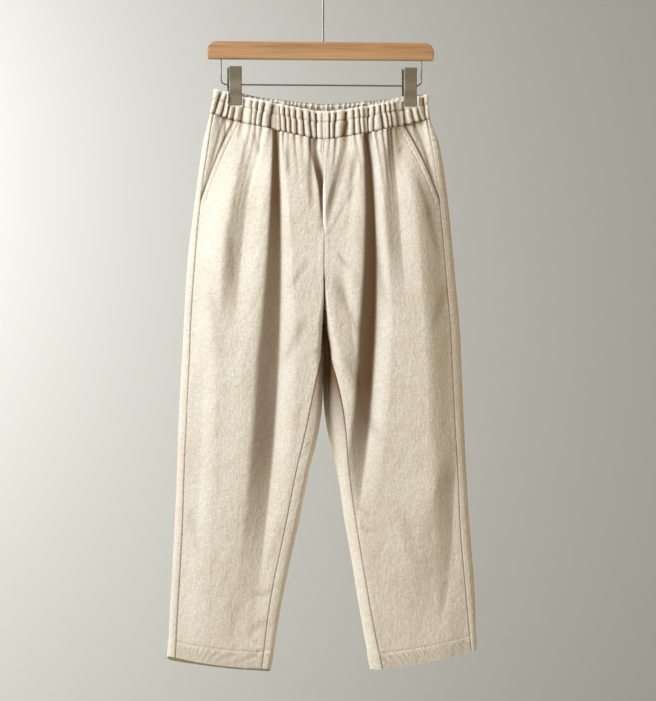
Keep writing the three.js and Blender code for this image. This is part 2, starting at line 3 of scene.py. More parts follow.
import bpy
import numpy as np
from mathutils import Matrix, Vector


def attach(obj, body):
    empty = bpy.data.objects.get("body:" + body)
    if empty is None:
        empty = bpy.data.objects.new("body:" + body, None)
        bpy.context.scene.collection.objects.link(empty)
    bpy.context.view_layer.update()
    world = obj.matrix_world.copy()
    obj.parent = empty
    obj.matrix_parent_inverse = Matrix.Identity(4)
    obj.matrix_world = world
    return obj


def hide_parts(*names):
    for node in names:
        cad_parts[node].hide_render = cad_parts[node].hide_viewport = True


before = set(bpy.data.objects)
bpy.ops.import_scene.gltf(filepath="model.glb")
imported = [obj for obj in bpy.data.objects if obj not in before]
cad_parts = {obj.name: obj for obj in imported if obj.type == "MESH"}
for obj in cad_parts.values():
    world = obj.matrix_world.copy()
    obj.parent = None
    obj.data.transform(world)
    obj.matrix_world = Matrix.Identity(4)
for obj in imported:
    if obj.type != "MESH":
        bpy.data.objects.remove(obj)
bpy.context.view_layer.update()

# Linen pull-on trousers hanging from a clip hanger. The tables and forms are in millimetres, as a cutter
# writes them, and MM turns them into the scene's metres. +X is to the right of someone looking at the front,
# which faces -Y, and the hook bears on its rail at the origin.
MM = 0.001

# ---------------------------------------------------------------- sizes shared with the solids
WAIST_HALF = 174
# The waistband's edges: height in the middle, and rise to the sides.
BAND = {
    ("front", "top"): (-232, 34), ("front", "seam"): (-278, 39),
    ("back", "top"): (-216, 18), ("back", "seam"): (-261, 22),
}
SAG_POWER, SAG_TILT = 1.28, -0.012
SEAM_LEVEL, BAND_LEVEL, HEM_LEVEL = -250, -200, -1104
CLIP_X, CLIP_WIDTH, BACK_JAW_SHIFT = 140, 20.5, -3
# Heights where the crotch seam starts to turn under, in front and behind, and where the legs part.
FORK = {"front": -486, "back": -500, "point": -572}
POCKET_END = -379
FLY_BOTTOM = -434
# By leg, -1 for the left and 1 for the right: the hem's height over HEM_LEVEL at its inner and outer end and
# the curve between them, and how much lower the back's hem hangs.
HEMS = {-1: (-14, 6.5, 1.8), 1: (-17.5, 12, 1.4)}
BACK_DROP = {-1: 9, 1: 3}

# Sewing: how far topstitching runs from its edge, and how far apart the puckers are that it draws up.
HEM_TURN, POCKET_TOPSTITCH = 24, 8
PUCKERS = {"seam": 10.5, "pocket": 8.5, "fly": 7.5, "hem": 9}
SEAM_GAP = 0.2

# The legs at some heights: outer edge, side seam's distance in from it, inner edge, inseam's distance in from
# that, width of the rolled inner edge, and half depth.
LEG_COLUMNS = ("z", "outer", "side", "inner", "inseam", "roll", "depth")
LEGS = {
    -1: (
        (-200, 173, 5, 0, 0, 0, 17), (-250, 180, 4, 0, 0, 0, 27), (-293, 191, 9, 0, 0, 0, 33),
        (-373, 204, 9, 0, 0, 0, 40), (-469, 216, 12, 0, 0, 0, 41), (-572, 222, 11, 0.5, 0.5, 1, 40),
        (-619, 224.5, 12, 1.5, 3, 2, 39), (-693, 229, 13, 1.5, 18, 0, 37), (-741, 231, 13, 7, 22, 0, 35),
        (-806, 233, 12, 22, 22, 0, 32), (-898, 237, 13, 41, 21, 0, 28), (-1006, 243, 13, 66, 19, 0, 22),
        (-1104, 248, 13, 84, 14, 0, 17),
    ),
    1: (
        (-200, 168, 4, 0, 0, 0, 17), (-250, 172, 5, 0, 0, 0, 27), (-293, 187, 13, 0, 0, 0, 33),
        (-373, 200.6, 15, 0, 0, 0, 40), (-469, 210, 15, 0, 0, 0, 41), (-572, 219.5, 16, 0.5, 0.5, 5, 40),
        (-619, 222, 16, 1.5, 9, 11, 39), (-693, 225, 15.5, 2, 26, 7, 37), (-741, 227, 15, 8, 27, 5, 35),
        (-806, 230.5, 14.5, 23, 18, 0, 32), (-898, 236, 16, 37, 16.5, 0, 28),
        (-1006, 244, 15, 57, 16.5, 0, 22), (-1104, 246.5, 9, 76, 19, 0, 17),
    ),
}

# Main folds, each a trough: x and z at the top, middle and low end, the width of its left flank at both ends,
# the right flank's width as a share of the left's, its depth, and the share of it already there at the top.
FOLDS = (
    ("front", -74, -258, -70, -540, -118, -1085, 9, 38, 0.8, 15, 0.45),
    ("front", 71, -258, 82, -560, 38, -960, 11, 31, 0.9, 16, 0.6),
    ("front", -106, -264, -127, -420, -142, -620, 16, 30, 1.2, 6, 0.35),
    ("front", 108, -258, 117, -380, 132, -560, 7, 26, 1.2, 5.5, 0.45),
    ("front", -12, -268, -4, -330, -0.5, -440, 13, 8, 0.5, 5.5, 0.9),
    ("front", 36, -264, 17, -350, 4, -434, 11, 8, 1.0, 2.8, 0.8),
    ("front", 26, -470, 42, -570, 62, -720, 18, 26, 1, 3.5, 0),
    ("front", 212, -770, 206, -900, 186, -1085, 20, 56, 0.6, 6, 0),
    ("front", -190, -620, -196, -800, -206, -980, 20, 28, 1, 2.5, 0),
    ("back", -66, -255, -84, -560, -120, -900, 14, 46, 1, 11, 0.45),
    ("back", 70, -255, 82, -600, 126, -980, 14, 46, 1, 11, 0.45),
    ("back", -126, -255, -134, -380, -150, -540, 12, 36, 1, 5, 0.45),
    ("back", 122, -255, 136, -400, 148, -600, 12, 36, 1, 5, 0.45),
    ("back", -28, -430, -96, -560, -170, -610, 20, 32, 1, 5, 0),
    ("back", 26, -440, 90, -570, 168, -640, 20, 32, 1, 5, 0),
)


# ---------------------------------------------------------------- small helpers
def clamp(t):
    return np.clip(t, 0.0, 1.0)


def smooth(t):
    t = clamp(t)
    return t * t * (3 - 2 * t)


def mix(a, b, t):
    return a + (b - a) * t


def round_edge(t):
    return np.sqrt(1 - (1 - clamp(t)) ** 2)


def bell(t):
    return np.exp(-t * t)


def column(leg, name, z):
    """Value of a named column of a leg's table at height z, on a smooth curve through its rows."""
    rows, k = LEGS[leg], 0
    at, last = LEG_COLUMNS.index(name), len(LEGS[leg]) - 1
    while k < last - 1 and z < rows[k + 1][0]:
        k += 1

    def slope(i):
        p, q = rows[max(0, i - 1)], rows[min(last, i + 1)]
        return (q[at] - p[at]) / (q[0] - p[0])

    a, b = rows[k], rows[k + 1]
    span = b[0] - a[0]
    t = min(1.0, max(0.0, (z - a[0]) / span))
    t2, t3 = t * t, t * t * t
    return (
        (2 * t3 - 3 * t2 + 1) * a[at] + (t3 - 2 * t2 + t) * span * slope(k)
        + (3 * t2 - 2 * t3) * b[at] + (t3 - t2) * span * slope(k + 1)
    )


# ---------------------------------------------------------------- the cloth's form
def sag(edge, x):
    middle, rise = edge
    return middle + rise * (np.abs(x) / WAIST_HALF) ** SAG_POWER + SAG_TILT * x


def seam_share(face, z):
    start = FORK["front"] if face < 0 else FORK["back"]
    t = min(1.0, max(0.0, (start - z) / (start - FORK["point"])))
    return max(0.0, 1 - t**1.8) ** 0.8


def inner_round(leg, face, z):
    """How wide the inside of the leg rounds over: crisp in front on the left leg, wide at the back."""
    wide = 44 if face > 0 else (10 if leg < 0 else 30)
    if z > FORK["point"]:
        return 1 + (7 if face < 0 else 15) * (1 - seam_share(face, z))
    opened = mix(8 if face < 0 else 16, wide, smooth((FORK["point"] - z) / 170))
    return opened - 0.4 * wide * smooth((-900 - z) / 200)


def pinch(x, z):
    fade = 1 - smooth((-215 - z) / 170)
    beside = np.maximum(0, np.abs(np.abs(x) - CLIP_X) - CLIP_WIDTH / 2 - 1)
    return 1 - 0.9 * fade * bell(beside / mix(34, 15, fade))


def ramp(t):
    """Left flank of a fold, nearly straight from its crisp bottom, 0, to its top, 1."""
    return 0.6 * (1 - clamp(t)) + 0.4 * (1 - smooth(t))


def folds_at(face, x, z):
    """Of each fold at height z: how far x lies right of its bottom, its flanks' widths, and its depth."""
    for side, x0, z0, x1, z1, x2, z2, wide0, wide1, right, depth, start in FOLDS:
        if (side == "front") != (face < 0) or z < z2:
            continue
        t = min(1.0, max(0.0, (z - z0) / (z2 - z0)))
        middle = (z1 - z0) / (z2 - z0)
        bend = (x1 - mix(x0, x2, middle)) / (middle * (1 - middle))
        opened = min(1.0, 2.2 * t)
        begun = mix(start, 1, opened) if start else smooth((z0 - z) / 60)
        along = begun * smooth((z - z2) / (0.45 * (z0 - z2)))
        wide = mix(wide0, wide1, opened)
        yield x - (mix(x0, x2, t) + bend * t * (1 - t)), wide, wide * right, depth * along


def fold_depth(face, x, z):
    total = np.zeros_like(x)
    for off, left, right, depth in folds_at(face, x, z):
        total += depth * np.where(off < 0, ramp(-off / left), (1 - clamp(off / right)) ** 1.6)
    return total


def fold_lips(face, x, z):
    """How far the cloth swells out left of each fold's flank, and turns in again right of its bottom."""
    total = np.zeros_like(x)
    for off, left, _, depth in folds_at(face, x, z):
        swell = 0.3 * bell((off + 1.25 * left) / (0.7 * left))
        total += depth * (swell - 0.1 * bell((off - 1.5) / (0.3 * left + 3)))
    return total


def fold_flank_shade(face, x, z):
    """Painted shade on each fold's left flank, the side turned from the light, by its steepness: crisp at the
    bottom, softer at its top.
    """
    total = np.zeros_like(x)
    for off, left, _, depth in folds_at(face, x, z):
        across = smooth((off + 1.0 * left) / (0.22 * left)) * (1 - smooth((off + 1) / 4))
        total += clamp(2.7 * (depth / left) ** 1.5) * across * mix(0.85, 1, clamp(1 + off / left))
    return clamp(total)


def half_depth(leg, face, x, z):
    depth = column(leg, "depth", z) * (1 if face < 0 else 0.94)
    from_outer = column(leg, "outer", z) - x
    from_inner = x - column(leg, "inner", z)
    edge = min(9, 0.55 * depth)
    outer = edge * round_edge(from_outer / edge) + (depth - edge) * smooth(from_outer / 62)
    share = seam_share(face, z)
    roll = column(leg, "roll", z) if face < 0 else 0
    inner = 1.0
    if share < 1:
        lobe = 0.16 * round_edge(from_inner / 6) * smooth(roll / 4) if roll > 0.5 else 0
        turn = round_edge((from_inner - roll) / inner_round(leg, face, z))
        inner = share + (1 - share) * (lobe + (1 - lobe) * turn)
    body = outer * inner * pinch(x, z)
    room = smooth(from_outer / 30) * smooth((body - 4) / 14)
    return body - np.minimum(fold_depth(face, leg * x, z) * room, 0.45 * body)


def lift(leg, x, y, z):
    seam = np.where(y < 0, sag(BAND["front", "seam"], leg * x), sag(BAND["back", "seam"], leg * x))
    top = (seam - SEAM_LEVEL) * (1 - smooth((SEAM_LEVEL - z) / 150))
    inner, outer, curve = HEMS[leg]
    slant = mix(inner, outer, clamp((x - 84) / 164) ** curve)
    return top + smooth((-900 - z) / 204) * (slant - BACK_DROP[leg] * smooth((y + 10) / 20))


class Loop:
    """The cloth of one leg at height z, from the front's inner end round the outside to the back's."""

    def __init__(self, leg, z):
        self.leg, self.z, self.closed = leg, z, z <= FORK["point"]
        outer, inner = column(leg, "outer", z), column(leg, "inner", z)
        share = (1 - np.cos(np.pi * np.arange(221) / 220)) / 2
        x = mix(outer, inner, share)
        front, back = -half_depth(leg, -1, x, z), half_depth(leg, 1, x, z)
        if self.closed:
            front[-1], back[-1] = 0, 0
        self.x = np.concatenate([x[::-1], x[1:]])
        self.y = np.concatenate([front[::-1], back[1:]])
        steps = np.hypot(np.diff(self.x), np.diff(self.y))
        self.length = np.concatenate([[0], np.cumsum(steps)])
        self.total = self.length[-1]
        self.front_count = len(x)
        self.side_seam = self.length_at(outer - column(leg, "side", z))
        self.inseam = self.length_at(inner + column(leg, "inseam", z)) if self.closed else 0.0

    def length_at(self, x):
        return float(np.interp(x, self.x[: self.front_count], self.length[: self.front_count]))

    def where(self, s):
        s = np.mod(s, self.total) if self.closed else np.clip(s, 0, self.total)
        return np.interp(s, self.length, self.x), np.interp(s, self.length, self.y)

    def places(self, s):
        """x, y and the outward normal in plan, at lengths s."""
        x, y = self.where(s)
        (ax, ay), (bx, by) = self.where(s - 1.2), self.where(s + 1.2)
        size = np.maximum(np.hypot(bx - ax, by - ay), 1e-9)
        return x, y, (by - ay) / size, -(bx - ax) / size


# ---------------------------------------------------------------- fine relief of the cloth
def lattice(x, z, size, seed):
    """Smooth random relief between -1 and 1, with lumps about one size across."""
    gx, gz = x / size, z / size
    ix, iz = np.floor(gx), np.floor(gz)
    fx, fz = smooth(gx - ix), smooth(gz - iz)

    def corner(dx, dz):
        v = np.sin((ix + dx) * 127.1 + (iz + dz) * 311.7 + seed * 74.7) * 43758.5453
        return 2 * (v - np.floor(v)) - 1

    return mix(mix(corner(0, 0), corner(1, 0), fx), mix(corner(0, 1), corner(1, 1), fx), fz)


def rumple(x, z, leg, face):
    """Soft crumpling of washed linen: long, slightly leaning wrinkles over finer ones, stronger in places."""
    seed = 3 * leg + 7 * face + 20
    lean = x + 0.32 * leg * z
    long_ones = lattice(lean, 0.28 * z, 15, seed) + 0.5 * lattice(lean * 0.9, 0.4 * z, 8, seed + 1)
    fine = lattice(x - 0.5 * leg * z, 0.55 * z, 4.6, seed + 2)
    patch = 0.55 + 0.45 * lattice(x, z, 90, seed + 3)
    return (0.42 * long_ones + 0.10 * fine) * patch


# Short creases pressed by hand. x and z of both ends, half width and depth (a minus stands out as a ridge).
CREASES = {
    "front": (
        (33, -280, 12, -410, 4.5, 2.4), (55, -282, 36, -385, 5, 2.3), (60, -300, 28, -420, 3.5, -0.8),
        (45, -350, 8, -434, 3, 1.0), (80, -420, 96, -560, 7, 1.2), (150, -330, 176, -420, 6, 1.6),
        (168, -380, 186, -470, 6, 1.4), (118, -292, 132, -286, 3, 1.2), (-22, -282, -14, -400, 5, 2.6),
        (-52, -274, -58, -330, 4, 2.0), (-108, -262, -108, -300, 4, 1.8), (-30, -560, -64, -640, 7, 1.4),
        (-150, -420, -140, -540, 8, 1.4), (-176, -520, -168, -640, 8, 1.3), (22, -500, 60, -590, 6, 1.6),
        (34, -620, 70, -690, 7, 1.2), (60, -700, 96, -760, 7, 1.1), (-60, -880, -84, -960, 7, 0.9),
        (-210, -860, -196, -940, 7, 0.9), (196, -500, 176, -590, 8, 1.3), (200, -980, 180, -1050, 7, 0.9),
        (-128, -1000, -150, -1070, 8, 0.9), (120, -860, 150, -960, 9, 1.0), (-20, -470, -60, -520, 6, 1.2),
        (-80, -985, -115, -1000, 4, 1.5), (-85, -1030, -120, -1055, 4, 1.5),
        (-100, -1075, -122, -1086, 3.5, 1.2), (56, -862, 74, -880, 3, 1.6), (60, -890, 78, -902, 3, 1.4),
        (22, -458, 46, -486, 4, 1.5),
    ),
    "back": (
        (-20, -275, -30, -360, 5, 1.8), (40, -275, 50, -350, 5, 1.6), (-100, -265, -96, -340, 5, 1.6),
        (96, -265, 100, -330, 5, 1.5), (-18, -520, -90, -600, 7, 2.0), (18, -530, 84, -620, 7, 2.0),
        (-40, -620, -110, -690, 8, 1.5), (50, -650, 120, -700, 8, 1.5), (-150, -640, -196, -700, 8, 1.2),
        (160, -680, 204, -740, 8, 1.2), (-90, -900, -130, -960, 8, 1.0), (110, -900, 150, -980, 8, 1.0),
        (-10, -300, -16, -470, 4, 1.2), (12, -300, 18, -460, 4, 1.2),
    ),
}


# Rows of topstitching on the right front, as X and z along each: the curved end of the mock fly, the crotch
# seam below it, and the bar tack across the fly's foot.
FLY_ROW = ((46, -300), (45, -340), (42, -370), (37, -395), (29, -415), (18, -429), (6, -437))
CROTCH_ROW = ((8.5, -440), (8.5, -470), (8.5, -510), (8, -548))
BAR_TACK = ((0.5, -431), (8, -431))


def along_row(row, step=1.5):
    """Evenly spaced points along a row of stitching, on a smooth curve through its points."""
    x, z = (np.array(v, dtype=float) for v in zip(*row))
    run = np.concatenate([[0], np.cumsum(np.hypot(np.diff(x), np.diff(z)))])
    even = np.linspace(0, run[-1], max(2, int(run[-1] / step)))
    return np.stack([np.interp(even, run, x), np.interp(even, run, z)], axis=-1)


def sewn_relief(row, x, z):
    """The groove of a row of stitching, with the cloth puckered across it."""
    path = along_row(row, 3.0)
    gap = np.hypot(x[:, None] - path[None, :, 0], z - path[None, :, 1])
    near, at = gap.min(axis=1), gap.argmin(axis=1)
    pucker = np.sin(2 * np.pi * at * 3.0 / PUCKERS["fly"] + 0.25 * near)
    return 0.3 * pucker * bell((near - 2.5) / 3.5) - 0.5 * bell(near / 0.9)


def pressed_creases(side, x, z):
    total = np.zeros_like(x)
    for x0, z0, x1, z1, width, depth in CREASES[side]:
        dx, dz = x1 - x0, z1 - z0
        size = math.hypot(dx, dz)
        t = ((x - x0) * dx + (z - z0) * dz) / size**2
        off = ((x - x0) * dz - (z - z0) * dx) / size + 3 * np.sin(3 * t + x0)
        total += depth * smooth((t + 0.12) / 0.4) * smooth((1.12 - t) / 0.5) * bell(off / width)
    return total


# ---------------------------------------------------------------- gathers of the waistband
# Gathers from the middle to the side, and how far the middle stays flat.
GATHERS = {("front", -1): (17, 0), ("front", 1): (17, 4), ("back", -1): (22, 0), ("back", 1): (22, 0)}


def gather_phase(side, leg, t):
    """Gathers passed at share t of the way from the middle to the side. Whole numbers are the valleys."""
    count, _ = GATHERS[side, leg]
    wander = 0.3 * np.sin(9 * t + 2 * leg) + 0.22 * np.sin(23 * t + (-1 if side == "front" else 1))
    return count * t + wander * smooth(t * 8) * smooth((1 - t) * 8)


def gather_weight(phase, seed):
    """Each gather's own strength, between about 0.4 and 1.2."""
    k = np.floor(phase + 0.5)
    v = np.sin(k * 91.7 + seed * 17.3) * 4758.31
    return 0.4 + 0.8 * (v - np.floor(v))


def flutes(side, leg, t, drop):
    """The gathers run on into the panel as narrow valleys that open and fade below the seam."""
    lean = 0.0005 * drop * np.sin(11 * t + leg)
    phase = gather_phase(side, leg, t + lean)
    weight = gather_weight(phase, 5 if side == "front" else 9)
    run = 15 + 75 * np.maximum(0, weight - 0.6)
    valley = (0.5 + 0.5 * np.cos(2 * np.pi * phase)) ** mix(2.4, 1.1, clamp(drop / 60))
    return -3.4 * weight * valley * np.exp(-drop / run) * smooth((drop + 6) / 8)


# ---------------------------------------------------------------- leg panels
SHEET = 1.1
ROWS = 250
FRONT_PANEL_COLUMNS, BACK_PANEL_COLUMNS = ((172, 144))


def panel_levels():
    """Heights of the rows, closer near the waist, the fork and the hem."""
    marks = [-250, -262, -300, -380, -440, -486, -572, -640, -860, -1070, -1080, -1104]
    share = [0, 0.03, 0.10, 0.21, 0.29, 0.36, 0.51, 0.60, 0.80, 0.95, 0.975, 1.0]
    return np.interp(np.linspace(0, 1, ROWS), share, marks)


def crowded(count):
    """Shares along a run, closer near both ends, where the seams are."""
    even, close = [0, 0.05, 0.15, 0.85, 0.95, 1], [0, 0.018, 0.09, 0.91, 0.982, 1]
    return np.interp(np.linspace(0, 1, count), even, close)


def mouth_x(leg, z):
    end = column(leg, "outer", POCKET_END) - column(leg, "side", POCKET_END)
    t = min(1.0, max(0.0, (SEAM_LEVEL - z) / (SEAM_LEVEL - POCKET_END)))
    return mix(142 if leg < 0 else 130, end, t) + math.sin(math.pi * t)


def hem_relief(x, z, seed):
    """The turned-up hem: thicker, roped by its stitching, with a crease where it was turned."""
    above = z - HEM_LEVEL
    inside = smooth((HEM_TURN + 2 - above) / 2)
    rope = np.sin(2 * np.pi * (x + 0.8 * above) / (PUCKERS["hem"] + 1.5 * np.sin(x / 31 + seed)))
    stitch = -0.15 * bell((above - HEM_TURN) / 1.5)
    uneven = 0.8 + 0.2 * lattice(x, x, 26, seed)
    return inside * (0.8 + 0.5 * rope * bell((above - 17) / 10) * uneven) + stitch


def seam_relief(distance, z, seed, ridge):
    """Beside a seam: a groove, then the ridge of the allowance below, puckered by the stitching."""
    drift = 2.5 * lattice(z, z * 0, 40, seed)
    pucker = np.sin(2 * np.pi * z / PUCKERS["seam"] + drift) * (0.5 + 0.5 * lattice(z, z * 0, 23, seed + 1))
    groove = -0.75 * bell(distance / 0.9)
    allowance = ridge * smooth(distance / 2) * smooth((11 - distance) / 4)
    return groove + allowance + 0.65 * pucker * bell((distance - 5.5) / 5.5)


class Grid:
    """Rows of points of one piece's outer side, with normals in plan and places on the cloth, u and v.

    The array after u and v is the share of painted shade at each point, towards the deep colour, and below 0
    the share of painted highlight.
    """

    def __init__(self, rows, cols):
        self.x, self.y, self.z = (np.zeros((rows, cols)) for _ in range(3))
        self.nx, self.ny = np.zeros((rows, cols)), np.zeros((rows, cols))
        self.u, self.v, self.painted_shading = (np.zeros((rows, cols)) for _ in range(3))

    def lay(self, r, loop, s, shift=0):
        """Lays row r on a leg's cloth at lengths s of its loop, shifted along X."""
        x, y, nx, ny = loop.places(s)
        self.x[r], self.y[r], self.z[r] = loop.leg * x + shift, y, loop.z + lift(loop.leg, x, y, loop.z)
        self.nx[r], self.ny[r] = loop.leg * nx, ny
        self.u[r], self.v[r] = s - loop.side_seam, -loop.z

    def pushed(self, out):
        """Points moved out along the normal by out, as an array of rows by columns by 3."""
        return np.stack([self.x + self.nx * out, self.y + self.ny * out, self.z], axis=-1)


def crotch_seam_relief(distance, groove, ridge):
    """Beside the seam from the waist to the fork: a groove, then the flat ridge of the allowance."""
    return ridge * smooth(distance / 2) * smooth((9 - distance) / 3) - groove * bell(distance / 1.1)


def pocket_mouth_relief(distance, z):
    """The mouth's folded edge, thicker as far as its puckered row of topstitching."""
    pucker = np.sin(2 * np.pi * (z + 0.7 * distance) / PUCKERS["pocket"])
    pucker = pucker * (0.7 + 0.3 * lattice(z, 0 * distance, 20, 4))
    folded = 0.9 * smooth((7.5 - distance) / 2) - 0.5 * bell((distance - POCKET_TOPSTITCH) / 0.9)
    return 0.75 * pucker * bell((distance - 7.5) / 4) + folded


def fly_lap(leg, z):
    """Share by which the fly laps over at height z, and how far this front's edge reaches sideways there."""
    lap = smooth((SEAM_LEVEL - z) / 18) * smooth((z - FLY_BOTTOM) / 12)
    reach = smooth((-268 - z) / 28) * smooth((z - FLY_BOTTOM - 12) / 12)
    return lap, reach * (-1.2 if leg > 0 else 3.2)


def deepened(flank, rest):
    """Painted shade where other painted shade lies in a fold's flank: together they fill it up to full shade
    and no further.
    """
    return clamp(flank + (1 - flank) * rest)


def front_edge_shade(leg, x, z, from_middle, from_edge, lapped):
    """Painted shade along the front's seams, and a painted dark gap at its inner edge where the leg rolls
    under.
    """
    low_seam = smooth((FORK["front"] - z) / 20) * (z > FORK["point"] - 4)
    seam = (0.3 - 0.3 * lapped + 0.6 * low_seam) * bell(from_middle / (1.1 + 2.4 * low_seam))
    roll = column(leg, "roll", z)
    tucked = smooth((roll + 3 - x + column(leg, "inner", z)) / 4) * smooth(roll / 3)
    return seam + 0.42 * bell(from_edge / 0.8) + tucked * (z < FORK["point"] + 25)


def hem_shade(hem, z):
    """Painted shade between the hem's ropes, and just above its stitching."""
    ropes = 0.35 * np.maximum(0, 1.2 - hem) * (z < HEM_LEVEL + HEM_TURN - 2)
    return ropes + 0.3 * bell((z - HEM_LEVEL - HEM_TURN - 3) / 1.4)


def front_grid(leg):
    """One front panel's rows of points, and how far each point stands out."""
    grid = Grid(ROWS, FRONT_PANEL_COLUMNS)
    relief = np.zeros(grid.x.shape)
    for r, z in enumerate(panel_levels()):
        loop, level = Loop(leg, z), np.full(FRONT_PANEL_COLUMNS, z)
        mouth = z > POCKET_END
        edge = min(loop.length_at(mouth_x(leg, z)), loop.side_seam) if mouth else loop.side_seam
        start, end = loop.inseam + SEAM_GAP, edge - SEAM_GAP
        s = mix(start, end, crowded(FRONT_PANEL_COLUMNS))
        x, _ = loop.where(s)
        signed, from_middle, from_edge = leg * x, s - start, end - s

        lap, reach = fly_lap(leg, z)
        near = 1 - smooth(from_middle / 14)
        out = leg * 1.25 * lap * near
        if z < FORK["point"]:
            out = out + seam_relief(from_middle, z, 2 + leg, 0.25)
        elif z < FLY_BOTTOM:
            out = out + crotch_seam_relief(from_middle, 0.5, 0.35)
        out = out + (pocket_mouth_relief(from_edge, z) if mouth else seam_relief(from_edge, z, 6 + leg, 0.1))
        if leg > 0 and -565 < z < -290:
            out = out + sewn_relief(FLY_ROW, signed, z) + sewn_relief(CROTCH_ROW, signed, z)
        run = s / loop.length_at(column(leg, "outer", z))
        gathered = flutes("front", leg, run, SEAM_LEVEL - z) * smooth(from_middle / 5)
        pressed = pressed_creases("front", signed, level)
        out = out + gathered - pressed + fold_lips(-1, signed, z) * smooth(from_middle / 20)
        calm = smooth(from_middle / 9) * smooth(from_edge / 9)
        hem = hem_relief(x, level, 3 + leg)
        relief[r] = out + rumple(signed, level, leg, -1) * mix(0.35, 1, calm) + hem

        lapped = lap if leg > 0 else 0
        # Painted shade in the gathers' valleys, the pressed creases, the seams, the folds' flanks, the hem
        # and the gap between the legs, and a painted highlight along the fly's lapped edge.
        rest = 0.16 * -gathered + 0.17 * pressed
        rest = rest + front_edge_shade(leg, x, z, from_middle, from_edge, lapped)
        painted_dark = clamp(deepened(fold_flank_shade(-1, signed, z), rest) + hem_shade(hem, z))
        grid.painted_shading[r] = painted_dark - 0.9 * lapped * bell((from_middle - 1.6) / 1.5)
        grid.lay(r, loop, s, reach * near)
    return grid, relief


def back_grid(leg):
    """One back panel's rows of points, and how far each point stands out."""
    grid = Grid(ROWS, BACK_PANEL_COLUMNS)
    relief = np.zeros(grid.x.shape)
    for r, z in enumerate(panel_levels()):
        loop, level = Loop(leg, z), np.full(BACK_PANEL_COLUMNS, z)
        start, end = loop.side_seam + SEAM_GAP, loop.total + loop.inseam - SEAM_GAP
        s = mix(start, end, crowded(BACK_PANEL_COLUMNS))
        x, y = loop.where(s)
        signed, from_side, from_middle = leg * x, s - start, end - s
        behind = smooth((y + 4) / 8)

        out = seam_relief(from_side, z, 11 + leg, 0.75)
        if z < FORK["point"]:
            out = out + seam_relief(from_middle, z, 15 + leg, 0.6)
        else:
            out = out + crotch_seam_relief(from_middle, 0.7, 0.3)
        run = clamp((loop.total - s) / (loop.total - loop.length_at(column(leg, "outer", z))))
        gathered = flutes("back", leg, run, SEAM_LEVEL - z) * behind
        pressed = pressed_creases("back", signed, level) * behind
        out = out + gathered - pressed + fold_lips(1, signed, z) * behind
        calm = smooth(from_middle / 9) * smooth(from_side / 14)
        out = out + rumple(leg * s, level, leg, 1) * mix(0.3, 1, calm)
        relief[r] = out + hem_relief(s, level, 8 + leg)

        # Painted shade along the seams, the folds' flanks, the gathers and creases, and on the inside of the
        # leg facing the other leg.
        seam = 0.45 * bell(from_middle / 1.1) + 0.45 * bell(from_side / 0.9)
        inside_leg_shade = smooth((-y + 4) / 8) * smooth((z + 790) / 200) * (z < FORK["point"] + 10)
        inside_leg_shade = inside_leg_shade * (1.3 if leg > 0 else 0.9) * (from_middle < from_side)
        rest = 0.16 * -gathered + 0.17 * pressed + seam + inside_leg_shade
        grid.painted_shading[r] = deepened(fold_flank_shade(1, signed, z) * behind, rest)
        grid.lay(r, loop, s)
    return grid, relief


# ---------------------------------------------------------------- meshes
def mesh_object(name, points, quads, uvs=None, smooth_angle=40):
    mesh = bpy.data.meshes.new(name)
    quads = np.asarray(quads, dtype=np.int32)
    mesh.vertices.add(len(points))
    mesh.vertices.foreach_set("co", (np.asarray(points, dtype=np.float64) * MM).ravel())
    mesh.loops.add(quads.size)
    mesh.loops.foreach_set("vertex_index", quads.ravel())
    mesh.polygons.add(len(quads))
    mesh.polygons.foreach_set("loop_start", np.arange(0, quads.size, 4, dtype=np.int32))
    mesh.polygons.foreach_set("use_smooth", np.ones(len(quads), dtype=bool))
    if uvs is not None:
        layer = mesh.uv_layers.new(name="cloth")
        layer.data.foreach_set("uv", (np.asarray(uvs)[quads.ravel()] * MM).ravel())
    mesh.update(calc_edges=True)
    mesh.validate()
    mesh.set_sharp_from_angle(angle=math.radians(smooth_angle))
    piece = bpy.data.objects.new(name, mesh)
    bpy.context.scene.collection.objects.link(piece)
    return piece


def wall_quads(rows, cols, flip):
    """Faces of a closed wall between an outer and an inner grid of rows by cols points."""
    at = np.arange(rows * cols).reshape(rows, cols)
    a, b, c, d = at[:-1, :-1], at[1:, :-1], at[1:, 1:], at[:-1, 1:]
    outer = np.stack([a, b, c, d], axis=-1).reshape(-1, 4)
    n = rows * cols
    inner = np.stack([a, d, c, b], axis=-1).reshape(-1, 4) + n
    left, right, top, low = at[:, 0], at[:, -1], at[0], at[-1]
    rims = [
        np.stack([left[:-1], left[:-1] + n, left[1:] + n, left[1:]], axis=-1),
        np.stack([right[:-1], right[1:], right[1:] + n, right[:-1] + n], axis=-1),
        np.stack([top[:-1], top[1:], top[1:] + n, top[:-1] + n], axis=-1),
        np.stack([low[:-1], low[:-1] + n, low[1:] + n, low[1:]], axis=-1),
    ]
    quads = np.concatenate([outer, inner, *rims])
    return quads[:, ::-1] if flip else quads


def wall_piece(name, grid, relief, thickness, flip, smooth_angle=40):
    outer, inner = grid.pushed(relief), grid.pushed(relief - thickness)
    rows, cols = grid.x.shape
    points = np.concatenate([outer.reshape(-1, 3), inner.reshape(-1, 3)])
    uv = np.stack([grid.u, grid.v], axis=-1).reshape(-1, 2)
    piece = mesh_object(name, points, wall_quads(rows, cols, flip), np.concatenate([uv, uv]), smooth_angle)
    # Painted shade and highlight go onto the mesh as a per-point attribute.
    painted_shading = piece.data.attributes.new("painted_shading", "FLOAT", "POINT")
    painted_shading.data.foreach_set("value", np.tile(grid.painted_shading.ravel(), 2))
    return piece


